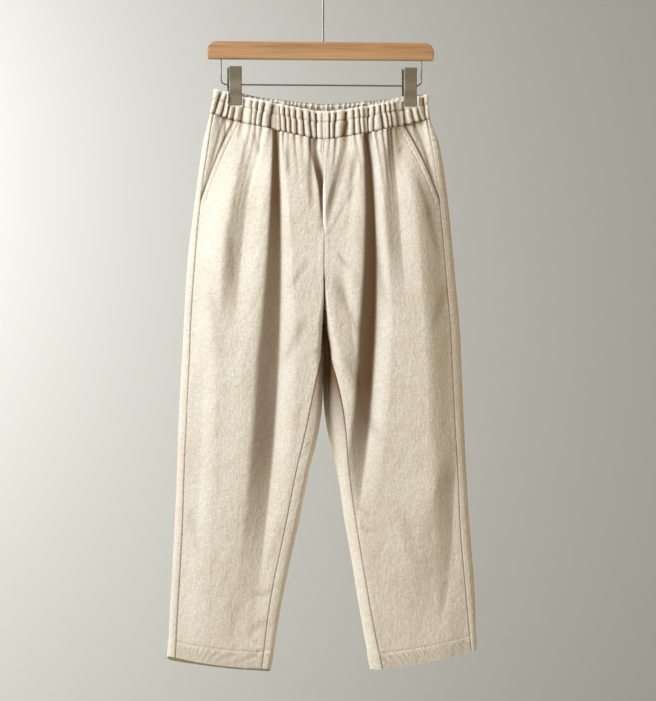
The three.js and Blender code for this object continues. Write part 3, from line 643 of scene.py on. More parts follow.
# ---------------------------------------------------------------- waistband
BAND_SHEET = 2.2
BAND_ROWS = 40
STITCH_ROW = 0.60
FRONT_COLUMNS, BACK_COLUMNS = ((560, 520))


def channel_puff(share):
    """Two puffed channels with the elastic in them, parted by a row of stitching."""
    low = round_edge(np.minimum(share, STITCH_ROW - share) / 0.2) * (share < STITCH_ROW)
    high = round_edge(np.minimum(share - STITCH_ROW, 0.95 - share) / 0.14) * (share >= STITCH_ROW)
    return low + high * (share < 0.95)


def gathers_at(side, leg, t, share):
    """Lobes, valleys and strengths of the gathers, t across half the band and share of its height up."""
    seed = -1 if side == "front" else 1
    # In the lower channel the valleys lean, merge and part again on their way to the seam.
    low = smooth((STITCH_ROW - share) / 0.08)
    lean = 0.4 * lattice(t * 9, 0 * t + leg, 1.0, 31 + seed) * (STITCH_ROW - share) / STITCH_ROW
    shift = 0.24 * lattice(t * 60, 0 * t + 3.0 * leg, 4.2, 41 + seed)
    ends = smooth(t * 12) * smooth((1 - t) * 12)
    phase = gather_phase(side, leg, t) + (lean + shift * low) * ends
    weight = gather_weight(phase + 0.5, 5 if side == "front" else 9)
    off = np.abs(phase - np.floor(phase + 0.5))
    valley = bell(off / 0.14) * mix(0.6, 1, smooth((weight - 0.45) / 0.5))
    return np.sin(np.pi * off), valley, weight


def band_grid(side):
    """Half of the gathered casing, front or back: its rows of points, and how far each stands out."""
    face = -1 if side == "front" else 1
    half = (FRONT_COLUMNS if face < 0 else BACK_COLUMNS) // 2
    grid = Grid(BAND_ROWS, 2 * half + 1)
    relief = np.zeros((BAND_ROWS, 2 * half + 1))
    for r, share in enumerate(np.linspace(0, 1, BAND_ROWS)):
        z = mix(SEAM_LEVEL, BAND_LEVEL, share)
        puff = float(channel_puff(np.array(share)))
        rim = bell((share - 0.96) / 0.05)
        for leg in (-1, 1):
            loop = Loop(leg, z)
            middle = 0.0 if face < 0 else loop.total
            side_end = loop.length_at(column(leg, "outer", z)) + 0.15 * face
            t = np.linspace(0, 1, half + 1)
            x, y, nx, ny = loop.places(mix(middle, side_end, t))
            flat = GATHERS[side, leg][1]
            lobe, valley, weight = gathers_at(side, leg, t, share)
            held = CLIP_WIDTH / 2 + (abs(BACK_JAW_SHIFT) if face > 0 else 0)
            height = mix(sag(BAND[side, "seam"], leg * x), sag(BAND[side, "top"], leg * x), share)
            gripped = (1 - smooth((np.abs(x - CLIP_X) - held) / 2)) * smooth((height + 227) / 5)
            beside_clip = 1 - gripped
            calm = smooth((x - flat) / 3) * beside_clip
            deep = (1 - 0.8 * rim) * mix(0.6, 1.0, puff)
            out = 1.2 * puff + (3.6 * (lobe - 0.6) * (0.8 + 0.3 * weight) - 3.4 * valley) * deep * calm
            out = out - 1.0 * bell((share - STITCH_ROW) / 0.035) + 2.4 * rim
            # Painted shade in the gathers' valleys and along the stitching and the seam below the band.
            gather_valley_shade = (0.75 * valley + 0.3 * (1 - lobe)) * calm * (1 - rim)
            seam_shade = 0.5 * bell((share - STITCH_ROW) / 0.03) + 1.0 * bell(share / 0.05)
            out = out + 0.3 * rumple(300 * t * leg + 40 * face, 0 * t + 60 * share, leg, face)
            out = mix(out, np.minimum(out, 0.0), gripped)
            pinched = 1 - smooth((x - CLIP_X - CLIP_WIDTH / 2 - 4) / 8)
            least = BAND_SHEET + 0.15 + (4.2 * lobe * (1 - 0.5 * rim) + 0.8 * puff) * beside_clip
            lacking = np.maximum(0, least - np.abs(y) - np.minimum(0, out)) * pinched
            at = slice(half, None) if leg > 0 else slice(half, None, -1)
            height = height + 0.3 * (1 - share) - 1.1 * (1 - lobe) * calm * smooth((share - 0.85) / 0.15)
            height = height + 1.0 * (1 - lobe) * calm * smooth((0.12 - share) / 0.12)
            grid.x[r, at], grid.y[r, at], grid.z[r, at] = leg * x, y, height
            grid.nx[r, at], grid.ny[r, at] = leg * nx, ny
            relief[r, at] = out + lacking
            grid.u[r, at], grid.v[r, at] = leg * t * 300, 48 * share
            # A painted highlight along the rolled rim, stronger on the front than at the back, over the
            # painted shade of the valleys and stitching.
            rim_highlight = (0.7 if face < 0 else 0.3) * rim * beside_clip
            painted_dark = clamp(gather_valley_shade + seam_shade * (0.35 + 0.6 * (1 - lobe) * calm)) * (1 - rim)
            grid.painted_shading[r, at] = painted_dark - rim_highlight
    return grid, relief


def pocket_facing_grid(leg):
    cols, rows = 30, 60
    levels = np.linspace(SEAM_LEVEL, -370, rows)
    grid, relief = Grid(rows, cols), np.zeros((rows, cols))
    for r, z in enumerate(levels):
        loop = Loop(leg, z)
        mouth = loop.length_at(mouth_x(leg, z))
        start, end = loop.length_at(mouth_x(leg, z) - 22), loop.side_seam - SEAM_GAP
        s = mix(start, end, np.linspace(0, 1, cols))
        room = np.abs(loop.where(s)[1]) - 1.4 - 0.15
        recess = np.minimum(2.6, room) * smooth((end - s) / min(10, 0.75 * (loop.side_seam - mouth)))
        out = -recess + 0.5 * rumple(s, 0 * s + z, leg, 2)
        out = out + flutes("front", leg, s / loop.side_seam, SEAM_LEVEL - z)
        fold = bell((s - mix(mouth, end, 0.45)) / 2.5) * smooth((z + 372) / 60)
        relief[r] = np.minimum(out - 1.1 * fold, 0.2)
        # Painted shade inside the pocket's mouth and along the facing's fold.
        grid.painted_shading[r] = clamp(0.7 * fold + 0.9 * (1 - smooth((s - mouth - 1.5) / 4)))
        grid.lay(r, loop, s)
        grid.u[r] = s
    return grid, relief


# ---------------------------------------------------------------- sewing thread
# How far the middle of a stitch stands off the cloth.
LIFT_OUT = 0.15


def stitch_row(name, path, normals, pitch, length, thick):
    """Stitches of one length along a path of points, each a small rounded lozenge lying on the cloth."""
    path, normals = np.asarray(path), np.asarray(normals)
    run = np.concatenate([[0], np.cumsum(np.linalg.norm(np.diff(path, axis=0), axis=1))])
    middles = np.arange(pitch / 2, run[-1], pitch)
    rings, sides = (-0.5, -0.32, 0.0, 0.32, 0.5), 6
    swell = (0.35, 0.85, 1.0, 0.85, 0.35)
    points, quads = [], []
    for m in middles:
        before, at, after = (np.array([np.interp(d, run, path[:, k]) for k in range(3)])
                             for d in (m - 0.5, m, m + 0.5))
        n = np.array([np.interp(m, run, normals[:, k]) for k in range(3)])
        n /= np.linalg.norm(n)
        along = (after - before) / np.linalg.norm(after - before)
        across = np.cross(along, n)
        base = len(points)
        for share, size in zip(rings, swell):
            centre = at + along * share * length + n * (LIFT_OUT - thick * abs(share))
            for k in range(sides):
                a = 2 * math.pi * k / sides
                points.append(centre + thick / 2 * size * (math.cos(a) * across + math.sin(a) * n))
        for ring in range(len(rings) - 1):
            for k in range(sides):
                a, b = base + ring * sides + k, base + ring * sides + (k + 1) % sides
                quads.append((a, b, b + sides, a + sides))
        for ring, turn in ((0, 1), (len(rings) - 1, -1)):
            c = base + ring * sides
            for q in ((c, c + 3, c + 2, c + 1), (c, c + 5, c + 4, c + 3)):
                quads.append(q[::turn])
    return mesh_object(name, points, quads, np.zeros((len(points), 2)), smooth_angle=80)


def grid_row(grid, relief, row):
    """Points and normals along one row of a grid."""
    normals = np.stack([grid.nx[row], grid.ny[row], 0 * grid.nx[row]], axis=-1)
    return grid.pushed(relief)[row], normals


def beside_edge(grid, relief, distance, rows):
    """Points and normals down some rows of a grid, at a distance from its outer edge."""
    surface, points, normals = grid.pushed(relief), [], []
    for r in range(grid.x.shape[0])[rows]:
        u = grid.u[r]
        at = u[-1] - distance
        points.append([np.interp(at, u, surface[r, :, k]) for k in range(3)])
        normals.append([np.interp(at, u, grid.nx[r]), np.interp(at, u, grid.ny[r]), 0])
    return np.array(points), np.array(normals)


def row_on_cloth(grid, relief, row):
    """Points and normals on the cloth under a row of stitching given by X and nominal height."""
    surface, levels, points, normals = grid.pushed(relief), panel_levels(), [], []
    for x, z in along_row(row):
        low = int(np.searchsorted(-levels, -z))
        share = (levels[low - 1] - z) / (levels[low - 1] - levels[low])
        found = []
        for r in (low - 1, low):
            line = [np.interp(x, grid.x[r], surface[r, :, k]) for k in range(3)]
            line += [np.interp(x, grid.x[r], way[r]) for way in (grid.nx, grid.ny)]
            found.append(np.array(line + [0.0]))
        both = mix(found[0], found[1], share)
        points.append(both[:3])
        normals.append(both[3:])
    return np.array(points), np.array(normals)


# ---------------------------------------------------------------- hanger
BAR = {"left": -185, "right": 178, "top": -120, "height": 28, "thick": 12, "shoulder": 15, "heel": 4}
HOOK = {"wire": 3.6, "inside": 18}
WIRE = {"size": 2.6, "left": -163, "right": 158, "level": -188.5, "corner": 9, "seat": 10}


def tube(name, path, radius, sides=20, tip=0.6):
    """A round wire along a path, with its two ends eased over a short tip."""
    path = np.asarray(path, dtype=float)
    ahead = path[1] - path[0], path[-1] - path[-2]
    first, last = (d / np.linalg.norm(d) for d in ahead)
    path = np.concatenate([[path[0], path[0] + first * tip], path[1:-1], [path[-1] - last * tip, path[-1]]])
    turn = np.gradient(path, axis=0)
    turn /= np.linalg.norm(turn, axis=1)[:, None]
    beside = np.cross(turn, np.array([0, 1.0, 0]))
    weak = np.linalg.norm(beside, axis=1) < 0.2
    beside[weak] = np.cross(turn[weak], np.array([0, 0, 1.0]))
    beside /= np.linalg.norm(beside, axis=1)[:, None]
    over = np.cross(beside, turn)
    radii = np.full(len(path), float(radius))
    radii[0] = radii[-1] = radius - tip * 0.8
    a = 2 * np.pi * np.arange(sides) / sides
    ring = np.cos(a)[None, :, None] * beside[:, None, :] + np.sin(a)[None, :, None] * over[:, None, :]
    points = (path[:, None, :] + radii[:, None, None] * ring).reshape(-1, 3)
    return mesh_object(name, points, ring_quads(len(path), sides), smooth_angle=50)


def ring_quads(rings, sides):
    """Faces round a run of rings with the same even number of sides, and across both ends."""
    at = np.arange(rings * sides).reshape(rings, sides)
    a, b = at[:-1], at[1:]
    skin = np.stack([a, b, np.roll(b, -1, 1), np.roll(a, -1, 1)], axis=-1).reshape(-1, 4)
    k = np.arange(sides // 2 - 1)
    lid = np.stack([k, k + 1, sides - 2 - k, sides - 1 - k], axis=-1)
    return np.concatenate([skin[:, ::-1], lid, lid[:, ::-1] + at[-1, 0]])


def arc(cx, cz, radius, start, end, count):
    a = np.radians(np.linspace(start, end, count))
    return [(cx + radius * math.cos(t), 0, cz + radius * math.sin(t)) for t in a]


def hanger_hook():
    centre, crook, join_angle = HOOK["inside"] + HOOK["wire"] / 2, -HOOK["inside"], -58
    a = math.radians(join_angle)
    join_x, join_z = centre * math.cos(a), crook + centre * math.sin(a)
    stem_top = join_z - 17
    path = [(0, 0, z) for z in np.linspace(BAR["top"] - 9, stem_top, 8)]
    for t in np.linspace(0, 1, 14)[1:-1]:
        path.append((join_x * float(smooth(t)), 0, mix(stem_top, join_z, t**0.85)))
    path += arc(0, crook, centre, join_angle, 196, 70)
    return tube("wire_hook", path, HOOK["wire"] / 2, 24)


def clip_wire():
    left, right, level, corner = (WIRE[k] for k in ("left", "right", "level", "corner"))
    low = BAR["top"] - BAR["height"]
    path = [(left, 0, z) for z in (low + WIRE["seat"] - 1, low, low - 12)]
    path += arc(left + corner, level + corner, corner, 180, 270, 14)
    path += [(x, 0, level) for x in np.linspace(left + corner, right - corner, 30)[1:-1]]
    path += arc(right - corner, level + corner, corner, -90, 0, 14)
    path += [(right, 0, z) for z in (low - 12, low, low + WIRE["seat"] - 1)]
    return tube("wire_clip_rail", path, WIRE["size"] / 2, 18)


def hanger_bar():
    """A planed bar: sections along X, each a rectangle with its four long edges rounded over."""
    left, right, top, height, thick = (BAR[k] for k in ("left", "right", "top", "height", "thick"))
    ease = 1.6
    t = (1 - np.cos(np.pi * np.arange(41) / 40)) / 2
    near = left + 22 * t
    stations = np.concatenate([near, np.linspace(left + 22, right - 22, 60)[1:-1], (right - 22 * t)[::-1]])
    corners, points = 7, []
    for x in stations:
        e = min(x - left, right - x)
        inset = ease - math.sqrt(max(0, ease**2 - max(0, ease - e) ** 2))
        shoulder = BAR["shoulder"] * (1 - float(round_edge(e / BAR["shoulder"])))
        heel = BAR["heel"] * (1 - float(round_edge(e / BAR["heel"])))
        low, high = top - height + heel + inset, top - shoulder - inset
        half = thick / 2 - inset
        for cy, cz, start in ((1, 1, 0), (-1, 1, 90), (-1, -1, 180), (1, -1, 270)):
            for k in range(corners):
                a = math.radians(start + 90 * k / (corners - 1))
                y = cy * (half - ease) + ease * math.cos(a)
                z = (high - ease if cz > 0 else low + ease) + ease * math.sin(a)
                points.append((x, y, z))
    return mesh_object("wood_bar", points, ring_quads(len(stations), 4 * corners)[:, ::-1], smooth_angle=50)


def clip_jaw(name, middle, face):
    """A pressed plate with its long edges folded back above the cloth and its lower corners rounded."""
    profile = (
        (-160.3, 8.3), (-164, 7.7), (-172, 6.3), (-179, 5.2), (-184, 4.75), (-195, 4.7), (-199, 4.3),
        (-205, 3.3), (-209, 3.05), (-221, 3.05),
    )
    heights, inner = (np.array(v) for v in zip(*profile[::-1]))
    half, fold, plate, corner = CLIP_WIDTH / 2, 1.3, 1.2, 3.0
    rows, flat, bend, side = 48, 12, 6, 3
    across = [(x, 0.0, 0.0, 1.0) for x in np.linspace(0, half - fold, flat)]
    for a in np.linspace(0, math.pi / 2, bend)[1:]:
        across.append((half - fold + fold * math.sin(a), fold * (1 - math.cos(a)), math.sin(a), math.cos(a)))
    across += [(half, fold + 1.9 * k / side, 1.0, 0.0) for k in range(1, side + 1)]
    across = [(-x, b, -nx, ny) for x, b, nx, ny in across[:0:-1]] + across
    grid = Grid(rows, len(across))
    for c, (x, back, nx, ny) in enumerate(across):
        edge = max(0.0, abs(x) - (half - corner))
        low = -221 + corner - math.sqrt(corner**2 - edge**2)
        z = mix(-160.3, low, np.linspace(0, 1, rows))
        folded = 1 - smooth((-199 - z) / 6)
        depth = np.minimum(back, 0.25) + np.maximum(0, back - 0.25) * folded
        grid.x[:, c] = middle + x
        grid.y[:, c] = face * (np.interp(z, heights, inner) + plate - depth)
        grid.z[:, c] = z
        grid.nx[:, c], grid.ny[:, c] = nx, ny * face
    relief = np.zeros(grid.x.shape)
    return wall_piece(name, grid, relief, 0.9, face > 0, smooth_angle=35)


def clip_spring(name, leg):
    turns, length, radius = 8.5, 12.2, 3.4
    t = np.linspace(0, 1, int(turns * 18))
    a = 2 * np.pi * turns * t
    x = leg * CLIP_X + length * (t - 0.5)
    path = np.stack([x, radius * np.cos(a), WIRE["level"] + radius * np.sin(a)], axis=-1)
    return tube(name, path, 0.62, 8, tip=0.2)


# ---------------------------------------------------------------- finishes
def shade(hexes):
    """A colour written as the eye sees it, as the linear light that the shaders use."""
    value = [int(hexes[k : k + 2], 16) / 255 for k in (0, 2, 4)]
    return tuple(v / 12.92 if v <= 0.04045 else ((v + 0.055) / 1.055) ** 2.4 for v in value) + (1.0,)


def node(tree, kind, inputs=None, **settings):
    made = tree.nodes.new(kind)
    for key, value in settings.items():
        setattr(made, key, value)
    for key, value in (inputs or {}).items():
        if isinstance(value, bpy.types.NodeSocket):
            tree.links.new(value, made.inputs[key])
        else:
            made.inputs[key].default_value = value
    return made


def new_material(name):
    made = bpy.data.materials.new(name)
    made.use_nodes = True
    made.node_tree.nodes.clear()
    return made, made.node_tree


# A wave pattern at scale 1 repeats every 314 mm, so WAVE over a spacing in millimetres is the scale for it.
WAVE = 314.0


def lumps(x, y, z):
    """Scale of a noise, on coordinates in metres, whose lumps are x by y by z mm."""
    return 1000 / x, 1000 / y, 1000 / z


def linen(name, light, dark, deep):
    """Plain-woven linen, garment-washed: the wash leaves it dry and broken, with slubs and fine crumples."""
    made, tree = new_material(name)
    cloth = node(tree, "ShaderNodeUVMap", uv_map="cloth").outputs["UV"]
    # Warp and weft: 0.8 mm a thread, a third coarser than the real 0.6, so that the weave shows from afar.
    warp, weft = (
        node(tree, "ShaderNodeTexWave", {"Vector": cloth, "Scale": WAVE / 0.8, "Distortion": 0.8,
             "Detail": 1.0, "Detail Scale": 0.6}, bands_direction=way).outputs["Fac"]
        for way in ("X", "Y")
    )
    weave = node(tree, "ShaderNodeMath", {0: warp, 1: weft}, operation="MULTIPLY").outputs[0]
    # Marks that the flax and the wash leave, by their width and length along the warp. Slubs are the thick
    # places in the yarn, here twice their real width, and specks are where darker fibres come up. Wrinkles
    # and crumples are what the wash pressed in, and patches are the slow unevenness of undyed flax.
    marks = {}
    for mark, wide, long, detail, seed in (
        ("weft_slubs", 12.5, 1.82, 2.0, 7.0), ("warp_slubs", 2.0, 8.33, 2.0, 0.0),
        ("specks", 2.22, 3.57, 2.0, 5.0), ("wrinkles", 5.0, 11.1, 2.0, 9.0),
        ("crumples", 11.76, 22.2, 3.0, 3.0), ("patches", 62.5, 62.5, 2.0, 11.0),
    ):
        moved = node(tree, "ShaderNodeMapping", {"Vector": cloth, "Scale": lumps(wide, long, 1000),
                     "Location": (seed, 2 * seed, seed)}).outputs["Vector"]
        noise = node(tree, "ShaderNodeTexNoise", {"Vector": moved, "Scale": 1.0, "Detail": detail})
        marks[mark] = noise.outputs["Fac"]
    slubs = node(tree, "ShaderNodeMath", {0: marks["weft_slubs"], 1: 0.8, 2: marks["warp_slubs"]},
                 operation="MULTIPLY_ADD").outputs[0]
    tone = node(tree, "ShaderNodeMapRange", {"Value": slubs, "From Min": 0.3, "From Max": 1.5,
                "To Min": -1.0, "To Max": 0.0}).outputs["Result"]
    marks.update(weave=weave, slubs=slubs)
    for mark, share in (("weave", 0.3), ("patches", 0.5), ("specks", 1.2), ("wrinkles", 0.15)):
        tone = node(tree, "ShaderNodeMath", {0: marks[mark], 1: share, 2: tone},
                    operation="MULTIPLY_ADD").outputs[0]
    # Painted shade and highlight: a per-point attribute turns the colour towards the deep one on the folds'
    # flanks turned from the light, in the gathers, creases, seams and hems and between the legs, and below 0
    # towards a near white, as painted highlight.
    painted_shading = node(tree, "ShaderNodeAttribute", attribute_name="painted_shading").outputs["Fac"]
    painted_highlight = node(tree, "ShaderNodeMath", {0: painted_shading, 1: -1.0}, operation="MULTIPLY").outputs[0]
    colour = shade(dark)
    for share, hexes in ((tone, light), (painted_shading, deep), (painted_highlight, "fffcf6")):
        colour = node(tree, "ShaderNodeMix", {"Factor": share, "A": colour, "B": shade(hexes)},
                      data_type="RGBA").outputs["Result"]
    # Millimetres that each mark stands up.
    height = 0.0
    for mark, rise in (("weave", 0.10), ("slubs", 0.45), ("crumples", 1.6), ("wrinkles", 0.9)):
        height = node(tree, "ShaderNodeMath", {0: marks[mark], 1: rise, 2: height},
                      operation="MULTIPLY_ADD").outputs[0]
    bump = node(tree, "ShaderNodeBump", {"Height": height, "Distance": MM, "Strength": 1.0})
    cloth = node(tree, "ShaderNodeBsdfPrincipled", {
        "Base Color": colour, "Roughness": 0.92, "Normal": bump.outputs["Normal"], "Sheen Weight": 0.2,
        "Sheen Roughness": 0.6, "Sheen Tint": shade("f6efe2"), "Specular IOR Level": 0.25,
    })
    node(tree, "ShaderNodeOutputMaterial", {"Surface": cloth.outputs["BSDF"]})
    return made


def thread_finish():
    """Spun polyester sewing thread, mercerised: a slight twist and a soft shine on each stitch."""
    made, tree = new_material("sewing_thread_spun")
    on_thread = node(tree, "ShaderNodeTexCoord").outputs["Object"]
    # Plies 0.45 mm apart.
    twist = node(tree, "ShaderNodeTexWave", {"Vector": on_thread, "Scale": WAVE / 0.45, "Distortion": 2.0},
                 bands_direction="DIAGONAL").outputs["Fac"]
    bump = node(tree, "ShaderNodeBump", {"Height": twist, "Distance": 0.1 * MM, "Strength": 0.6})
    # The plies are painted lighter on their crests and darker between them: painted highlight and shade.
    colour = node(tree, "ShaderNodeMix", {"Factor": twist, "A": shade("e2d7c3"), "B": shade("fffaf0")},
                  data_type="RGBA").outputs["Result"]
    thread = node(tree, "ShaderNodeBsdfPrincipled", {
        "Base Color": colour, "Roughness": 0.55, "Normal": bump.outputs["Normal"], "Sheen Weight": 0.2,
    })
    node(tree, "ShaderNodeOutputMaterial", {"Surface": thread.outputs["BSDF"]})
    return made


def beech_finish():
    """Planed beech under clear satin lacquer: long straight grain, short flecks, and a faint gloss."""
    made, tree = new_material("beech_planed_satin_lacquer")
    on_bar = node(tree, "ShaderNodeTexCoord").outputs["Object"]
    # Grain 4 mm wide and over 100 mm long, slow bands of the year rings, and ray flecks 3 mm long and half a
    # millimetre tall, as quarter-cut beech shows.
    figure = {}
    for part, size, detail, rough, distortion in (
        ("grain", (111, 3.85, 3.03), 5.0, 0.62, 0.35),
        ("bands", (833, 33.3, 16.7), 3.0, 0.5, 0.0),
        ("flecks", (3.03, 1.11, 0.455), 1.0, 0.5, 0.0),
    ):
        moved = node(tree, "ShaderNodeMapping", {"Vector": on_bar, "Scale": lumps(*size)}).outputs["Vector"]
        noise = node(tree, "ShaderNodeTexNoise", {"Vector": moved, "Scale": 1.0, "Detail": detail,
                     "Roughness": rough, "Distortion": distortion})
        figure[part] = noise.outputs["Fac"]
    colour = shade("8f5f36")
    for part, low, high, most, hexes in (
        ("grain", 0.3, 0.72, 1.0, "c59566"), ("bands", 0.35, 0.7, 0.5, "d0a877"),
        ("flecks", 0.62, 0.72, 0.35, "8e6238"),
    ):
        share = node(tree, "ShaderNodeMapRange", {"Value": figure[part], "From Min": low, "From Max": high,
                     "To Max": most}).outputs["Result"]
        colour = node(tree, "ShaderNodeMix", {"Factor": share, "A": colour, "B": shade(hexes)},
                      data_type="RGBA").outputs["Result"]
    grain = figure["grain"]
    bump = node(tree, "ShaderNodeBump", {"Height": grain, "Distance": 0.12 * MM, "Strength": 0.5})
    rough = node(tree, "ShaderNodeMapRange", {"Value": grain, "To Min": 0.36, "To Max": 0.5})
    wood = node(tree, "ShaderNodeBsdfPrincipled", {
        "Base Color": colour, "Roughness": rough.outputs["Result"], "Normal": bump.outputs["Normal"],
        "Coat Weight": 0.15, "Coat Roughness": 0.3,
    })
    node(tree, "ShaderNodeOutputMaterial", {"Surface": wood.outputs["BSDF"]})
    return made


def nickel_plate(name, light, dark, rough, line_size):
    """Nickel-plated steel: drawn wire keeps faint lines along itself, a tumbled plate is slightly mottled."""
    made, tree = new_material(name)
    on_steel = node(tree, "ShaderNodeTexCoord").outputs["Object"]
    # Lines of the size given, and mottling 6 mm across.
    lines, mottle = (
        node(tree, "ShaderNodeTexNoise", {"Scale": 1.0, "Detail": 3.0, "Vector": node(
             tree, "ShaderNodeMapping", {"Vector": on_steel, "Scale": lumps(*size)}).outputs["Vector"],
             }).outputs["Fac"]
        for size in (line_size, (6.25, 6.25, 6.25))
    )
    both = node(tree, "ShaderNodeMath", {0: lines, 1: mottle}, operation="ADD").outputs[0]
    tone = node(tree, "ShaderNodeMapRange", {"Value": both, "From Min": 0.7, "From Max": 1.3})
    colour = node(tree, "ShaderNodeMix", {"Factor": tone.outputs["Result"], "A": shade(dark),
                  "B": shade(light)}, data_type="RGBA").outputs["Result"]
    gloss = node(tree, "ShaderNodeMapRange", {"Value": mottle, "To Min": rough - 0.06,
                 "To Max": rough + 0.08})
    bump = node(tree, "ShaderNodeBump", {"Height": both, "Distance": 0.04 * MM, "Strength": 0.5})
    metal = node(tree, "ShaderNodeBsdfPrincipled", {
        "Base Color": colour, "Metallic": 1.0, "Roughness": gloss.outputs["Result"],
        "Normal": bump.outputs["Normal"],
    })
    node(tree, "ShaderNodeOutputMaterial", {"Surface": metal.outputs["BSDF"]})
    return made


def matt_paint(name, hexes):
    """Matt emulsion on a plain plane, with hardly any shine."""
    made, tree = new_material(name)
    paint = node(tree, "ShaderNodeBsdfPrincipled", {"Base Color": shade(hexes), "Roughness": 0.9,
                 "Specular IOR Level": 0.2})
    node(tree, "ShaderNodeOutputMaterial", {"Surface": paint.outputs["BSDF"]})
    return made


# ---------------------------------------------------------------- putting it together
SIDES = {-1: "left", 1: "right"}
# The third colour is the colour of painted shade in the folds, gathers, seams and hems.
CLOTH = linen("linen_plain_weave_washed", "f8f2e6", "d6c8ac", "71522d")
THREAD = thread_finish()
BEECH = beech_finish()
WIRE_STEEL = nickel_plate("steel_wire_bright_nickel", "9a968e", "86817a", 0.38, (1.11, 1.11, 33.3))
CLIP_STEEL = nickel_plate("clip_plate_satin_nickel", "9c9686", "968f7e", 0.48, (33.3, 33.3, 33.3))


def place(piece, finish, slot, *nodes):
    """Gives a piece its finish and body, and has it stand for the solids of the same form."""
    piece.data.materials.append(finish)
    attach(piece, "root")
    if nodes:
        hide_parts(*nodes)


def build_cloth():
    """The eight sheets. Gives back the grids that the stitching is laid on."""
    grids = {}
    for leg in (-1, 1):
        side = SIDES[leg]
        front, back, facing = front_grid(leg), back_grid(leg), pocket_facing_grid(leg)
        grids["front", leg], grids["back", leg] = front, back
        piece = wall_piece(f"cloth_front_{side}", *front, SHEET, leg < 0)
        place(piece, CLOTH, "linen", f"front_{side}")
        piece = wall_piece(f"cloth_back_{side}", *back, SHEET, leg < 0)
        place(piece, CLOTH, "linen", f"back_{side}")
        piece = wall_piece(f"cloth_pocket_facing_{side}", *facing, SHEET, leg < 0)
        place(piece, CLOTH, "linen", f"pocket_facing_{side}")
    for side in ("front", "back"):
        grids["band", side] = band_grid(side)
        piece = wall_piece(f"cloth_waistband_{side}", *grids["band", side], BAND_SHEET, side == "front")
        place(piece, CLOTH, "linen", f"waistband_{side}")
    return grids


def build_stitching(grids):
    """Rows of stitches, the hems' in a heavier thread than the rest."""

    def sew(name, line, pitch, length, thick):
        place(stitch_row(name, *line, pitch, length, thick), THREAD, "linen")

    for side in ("front", "back"):
        grid, out = grids["band", side]
        row = int(round(STITCH_ROW * (BAND_ROWS - 1)))
        sew(f"thread_waist_{side}", grid_row(grid, out, row), 3.0, 2.2, 0.5)
    for leg in (-1, 1):
        side = SIDES[leg]
        levels = panel_levels()
        hem = int(np.argmin(np.abs(levels - (HEM_LEVEL + HEM_TURN))))
        for face in ("front", "back"):
            sew(f"thread_hem_{face}_{side}", grid_row(*grids[face, leg], hem), 3.2, 2.6, 0.8)
        mouth = levels > POCKET_END + 3
        line = beside_edge(*grids["front", leg], POCKET_TOPSTITCH, slice(2, int(mouth.sum())))
        sew(f"thread_pocket_{side}", line, 3.0, 2.2, 0.5)
    right = grids["front", 1]
    sew("thread_fly", row_on_cloth(*right, FLY_ROW), 3.0, 2.3, 0.5)
    sew("thread_crotch", row_on_cloth(*right, CROTCH_ROW), 3.0, 2.3, 0.5)
    sew("thread_fly_tack", row_on_cloth(*right, BAR_TACK), 0.7, 1.4, 0.7)


def build_hanger():
    """Bar, hook and wire, and two clips of two plates and a coil each."""
    place(hanger_bar(), BEECH, "beech", "hanger_bar")
    place(hanger_hook(), WIRE_STEEL, "wire_steel", "hanger_hook")
    place(clip_wire(), WIRE_STEEL, "wire_steel", "clip_wire")
    for leg in (-1, 1):
        for face, which, shift in ((-1, "front", 0), (1, "back", BACK_JAW_SHIFT)):
            jaw = clip_jaw(f"clip_plate_{SIDES[leg]}_{which}", leg * CLIP_X + shift, face)
            place(jaw, CLIP_STEEL, "clip_steel", f"clip_{SIDES[leg]}_{which}_jaw")
        spring = clip_spring(f"clip_coil_{SIDES[leg]}", leg)
        place(spring, WIRE_STEEL, "wire_steel", f"clip_{SIDES[leg]}_spring")


def plane(name, corners, finish):
    mesh = bpy.data.meshes.new(name)
    mesh.from_pydata(corners, [], [(0, 1, 2, 3)])
    piece = bpy.data.objects.new(name, mesh)
    bpy.context.scene.collection.objects.link(piece)
    mesh.materials.append(finish)


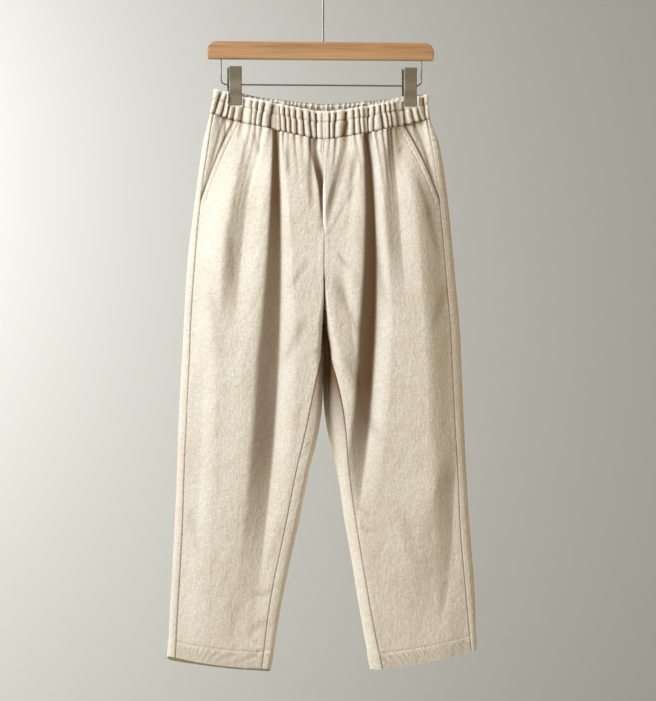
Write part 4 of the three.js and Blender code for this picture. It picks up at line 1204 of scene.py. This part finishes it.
def area_light(name, at, target, size, power, colour):
    lamp = bpy.data.lights.new(name, "AREA")
    lamp.shape, lamp.size, lamp.size_y = "RECTANGLE", size[0], size[1]
    lamp.energy, lamp.color = power, shade(colour)[:3]
    piece = bpy.data.objects.new(name, lamp)
    piece.location = at
    piece.rotation_euler = (Vector(target) - Vector(at)).to_track_quat("-Z", "Y").to_euler()
    bpy.context.scene.collection.objects.link(piece)


def build_stage():
    """A pale floor, and a pale wall far enough behind to leave room for a look at the back."""
    wall, floor = 4.5, -2.3
    wall_corners = [(-5, wall, floor), (5, wall, floor), (5, wall, 3.5), (-5, wall, 3.5)]
    floor_corners = [(-5, -6, floor), (5, -6, floor), (5, wall, floor), (-5, wall, floor)]
    plane("wall", wall_corners, matt_paint("wall_paint", "b2b3b0"))
    plane("floor", floor_corners, matt_paint("floor_paint", "dedcd6"))
    area_light("key", (-1.8, -1.45, 0.85), (0.05, 0, -0.6), (1.7, 1.7), 95, "ebf3ff")
    area_light("fill", (0.6, -3.2, 0.4), (0, 0, -0.6), (2.4, 2.0), 7, "fdf4ea")
    area_light("wall_wash", (-3.0, 2.25, 0.45), (-0.85, wall, -0.6), (1.4, 1.4), 210, "f6f7f6")
    area_light("rear_fill", (1.5, 2.3, 0.9), (0, 0, -0.6), (1.6, 1.6), 26, "f8f6f0")
    world = bpy.data.worlds.new("studio")
    world.use_nodes = True
    around = world.node_tree.nodes["Background"].inputs
    around["Color"].default_value, around["Strength"].default_value = shade("e8d2ad"), 0.38
    bpy.context.scene.world = world


def build_camera():
    """In front at 2.9 m, 3 degrees to the left, with a lens that takes in the whole object."""
    bpy.context.scene.view_settings.view_transform = "Standard"
    lens = bpy.data.cameras.new("camera")
    camera = bpy.data.objects.new("camera", lens)
    distance, yaw, target = 2.9, math.radians(-3), Vector((0.008, 0, -0.6128))
    camera.location = target + Vector((distance * math.sin(yaw), -distance * math.cos(yaw), 0))
    camera.rotation_euler = (target - camera.location).to_track_quat("-Z", "Y").to_euler()
    lens.sensor_width = 36
    lens.lens = 93.056
    bpy.context.scene.collection.objects.link(camera)
    bpy.context.scene.camera = camera


build_stitching(build_cloth())
build_hanger()
build_stage()
build_camera()
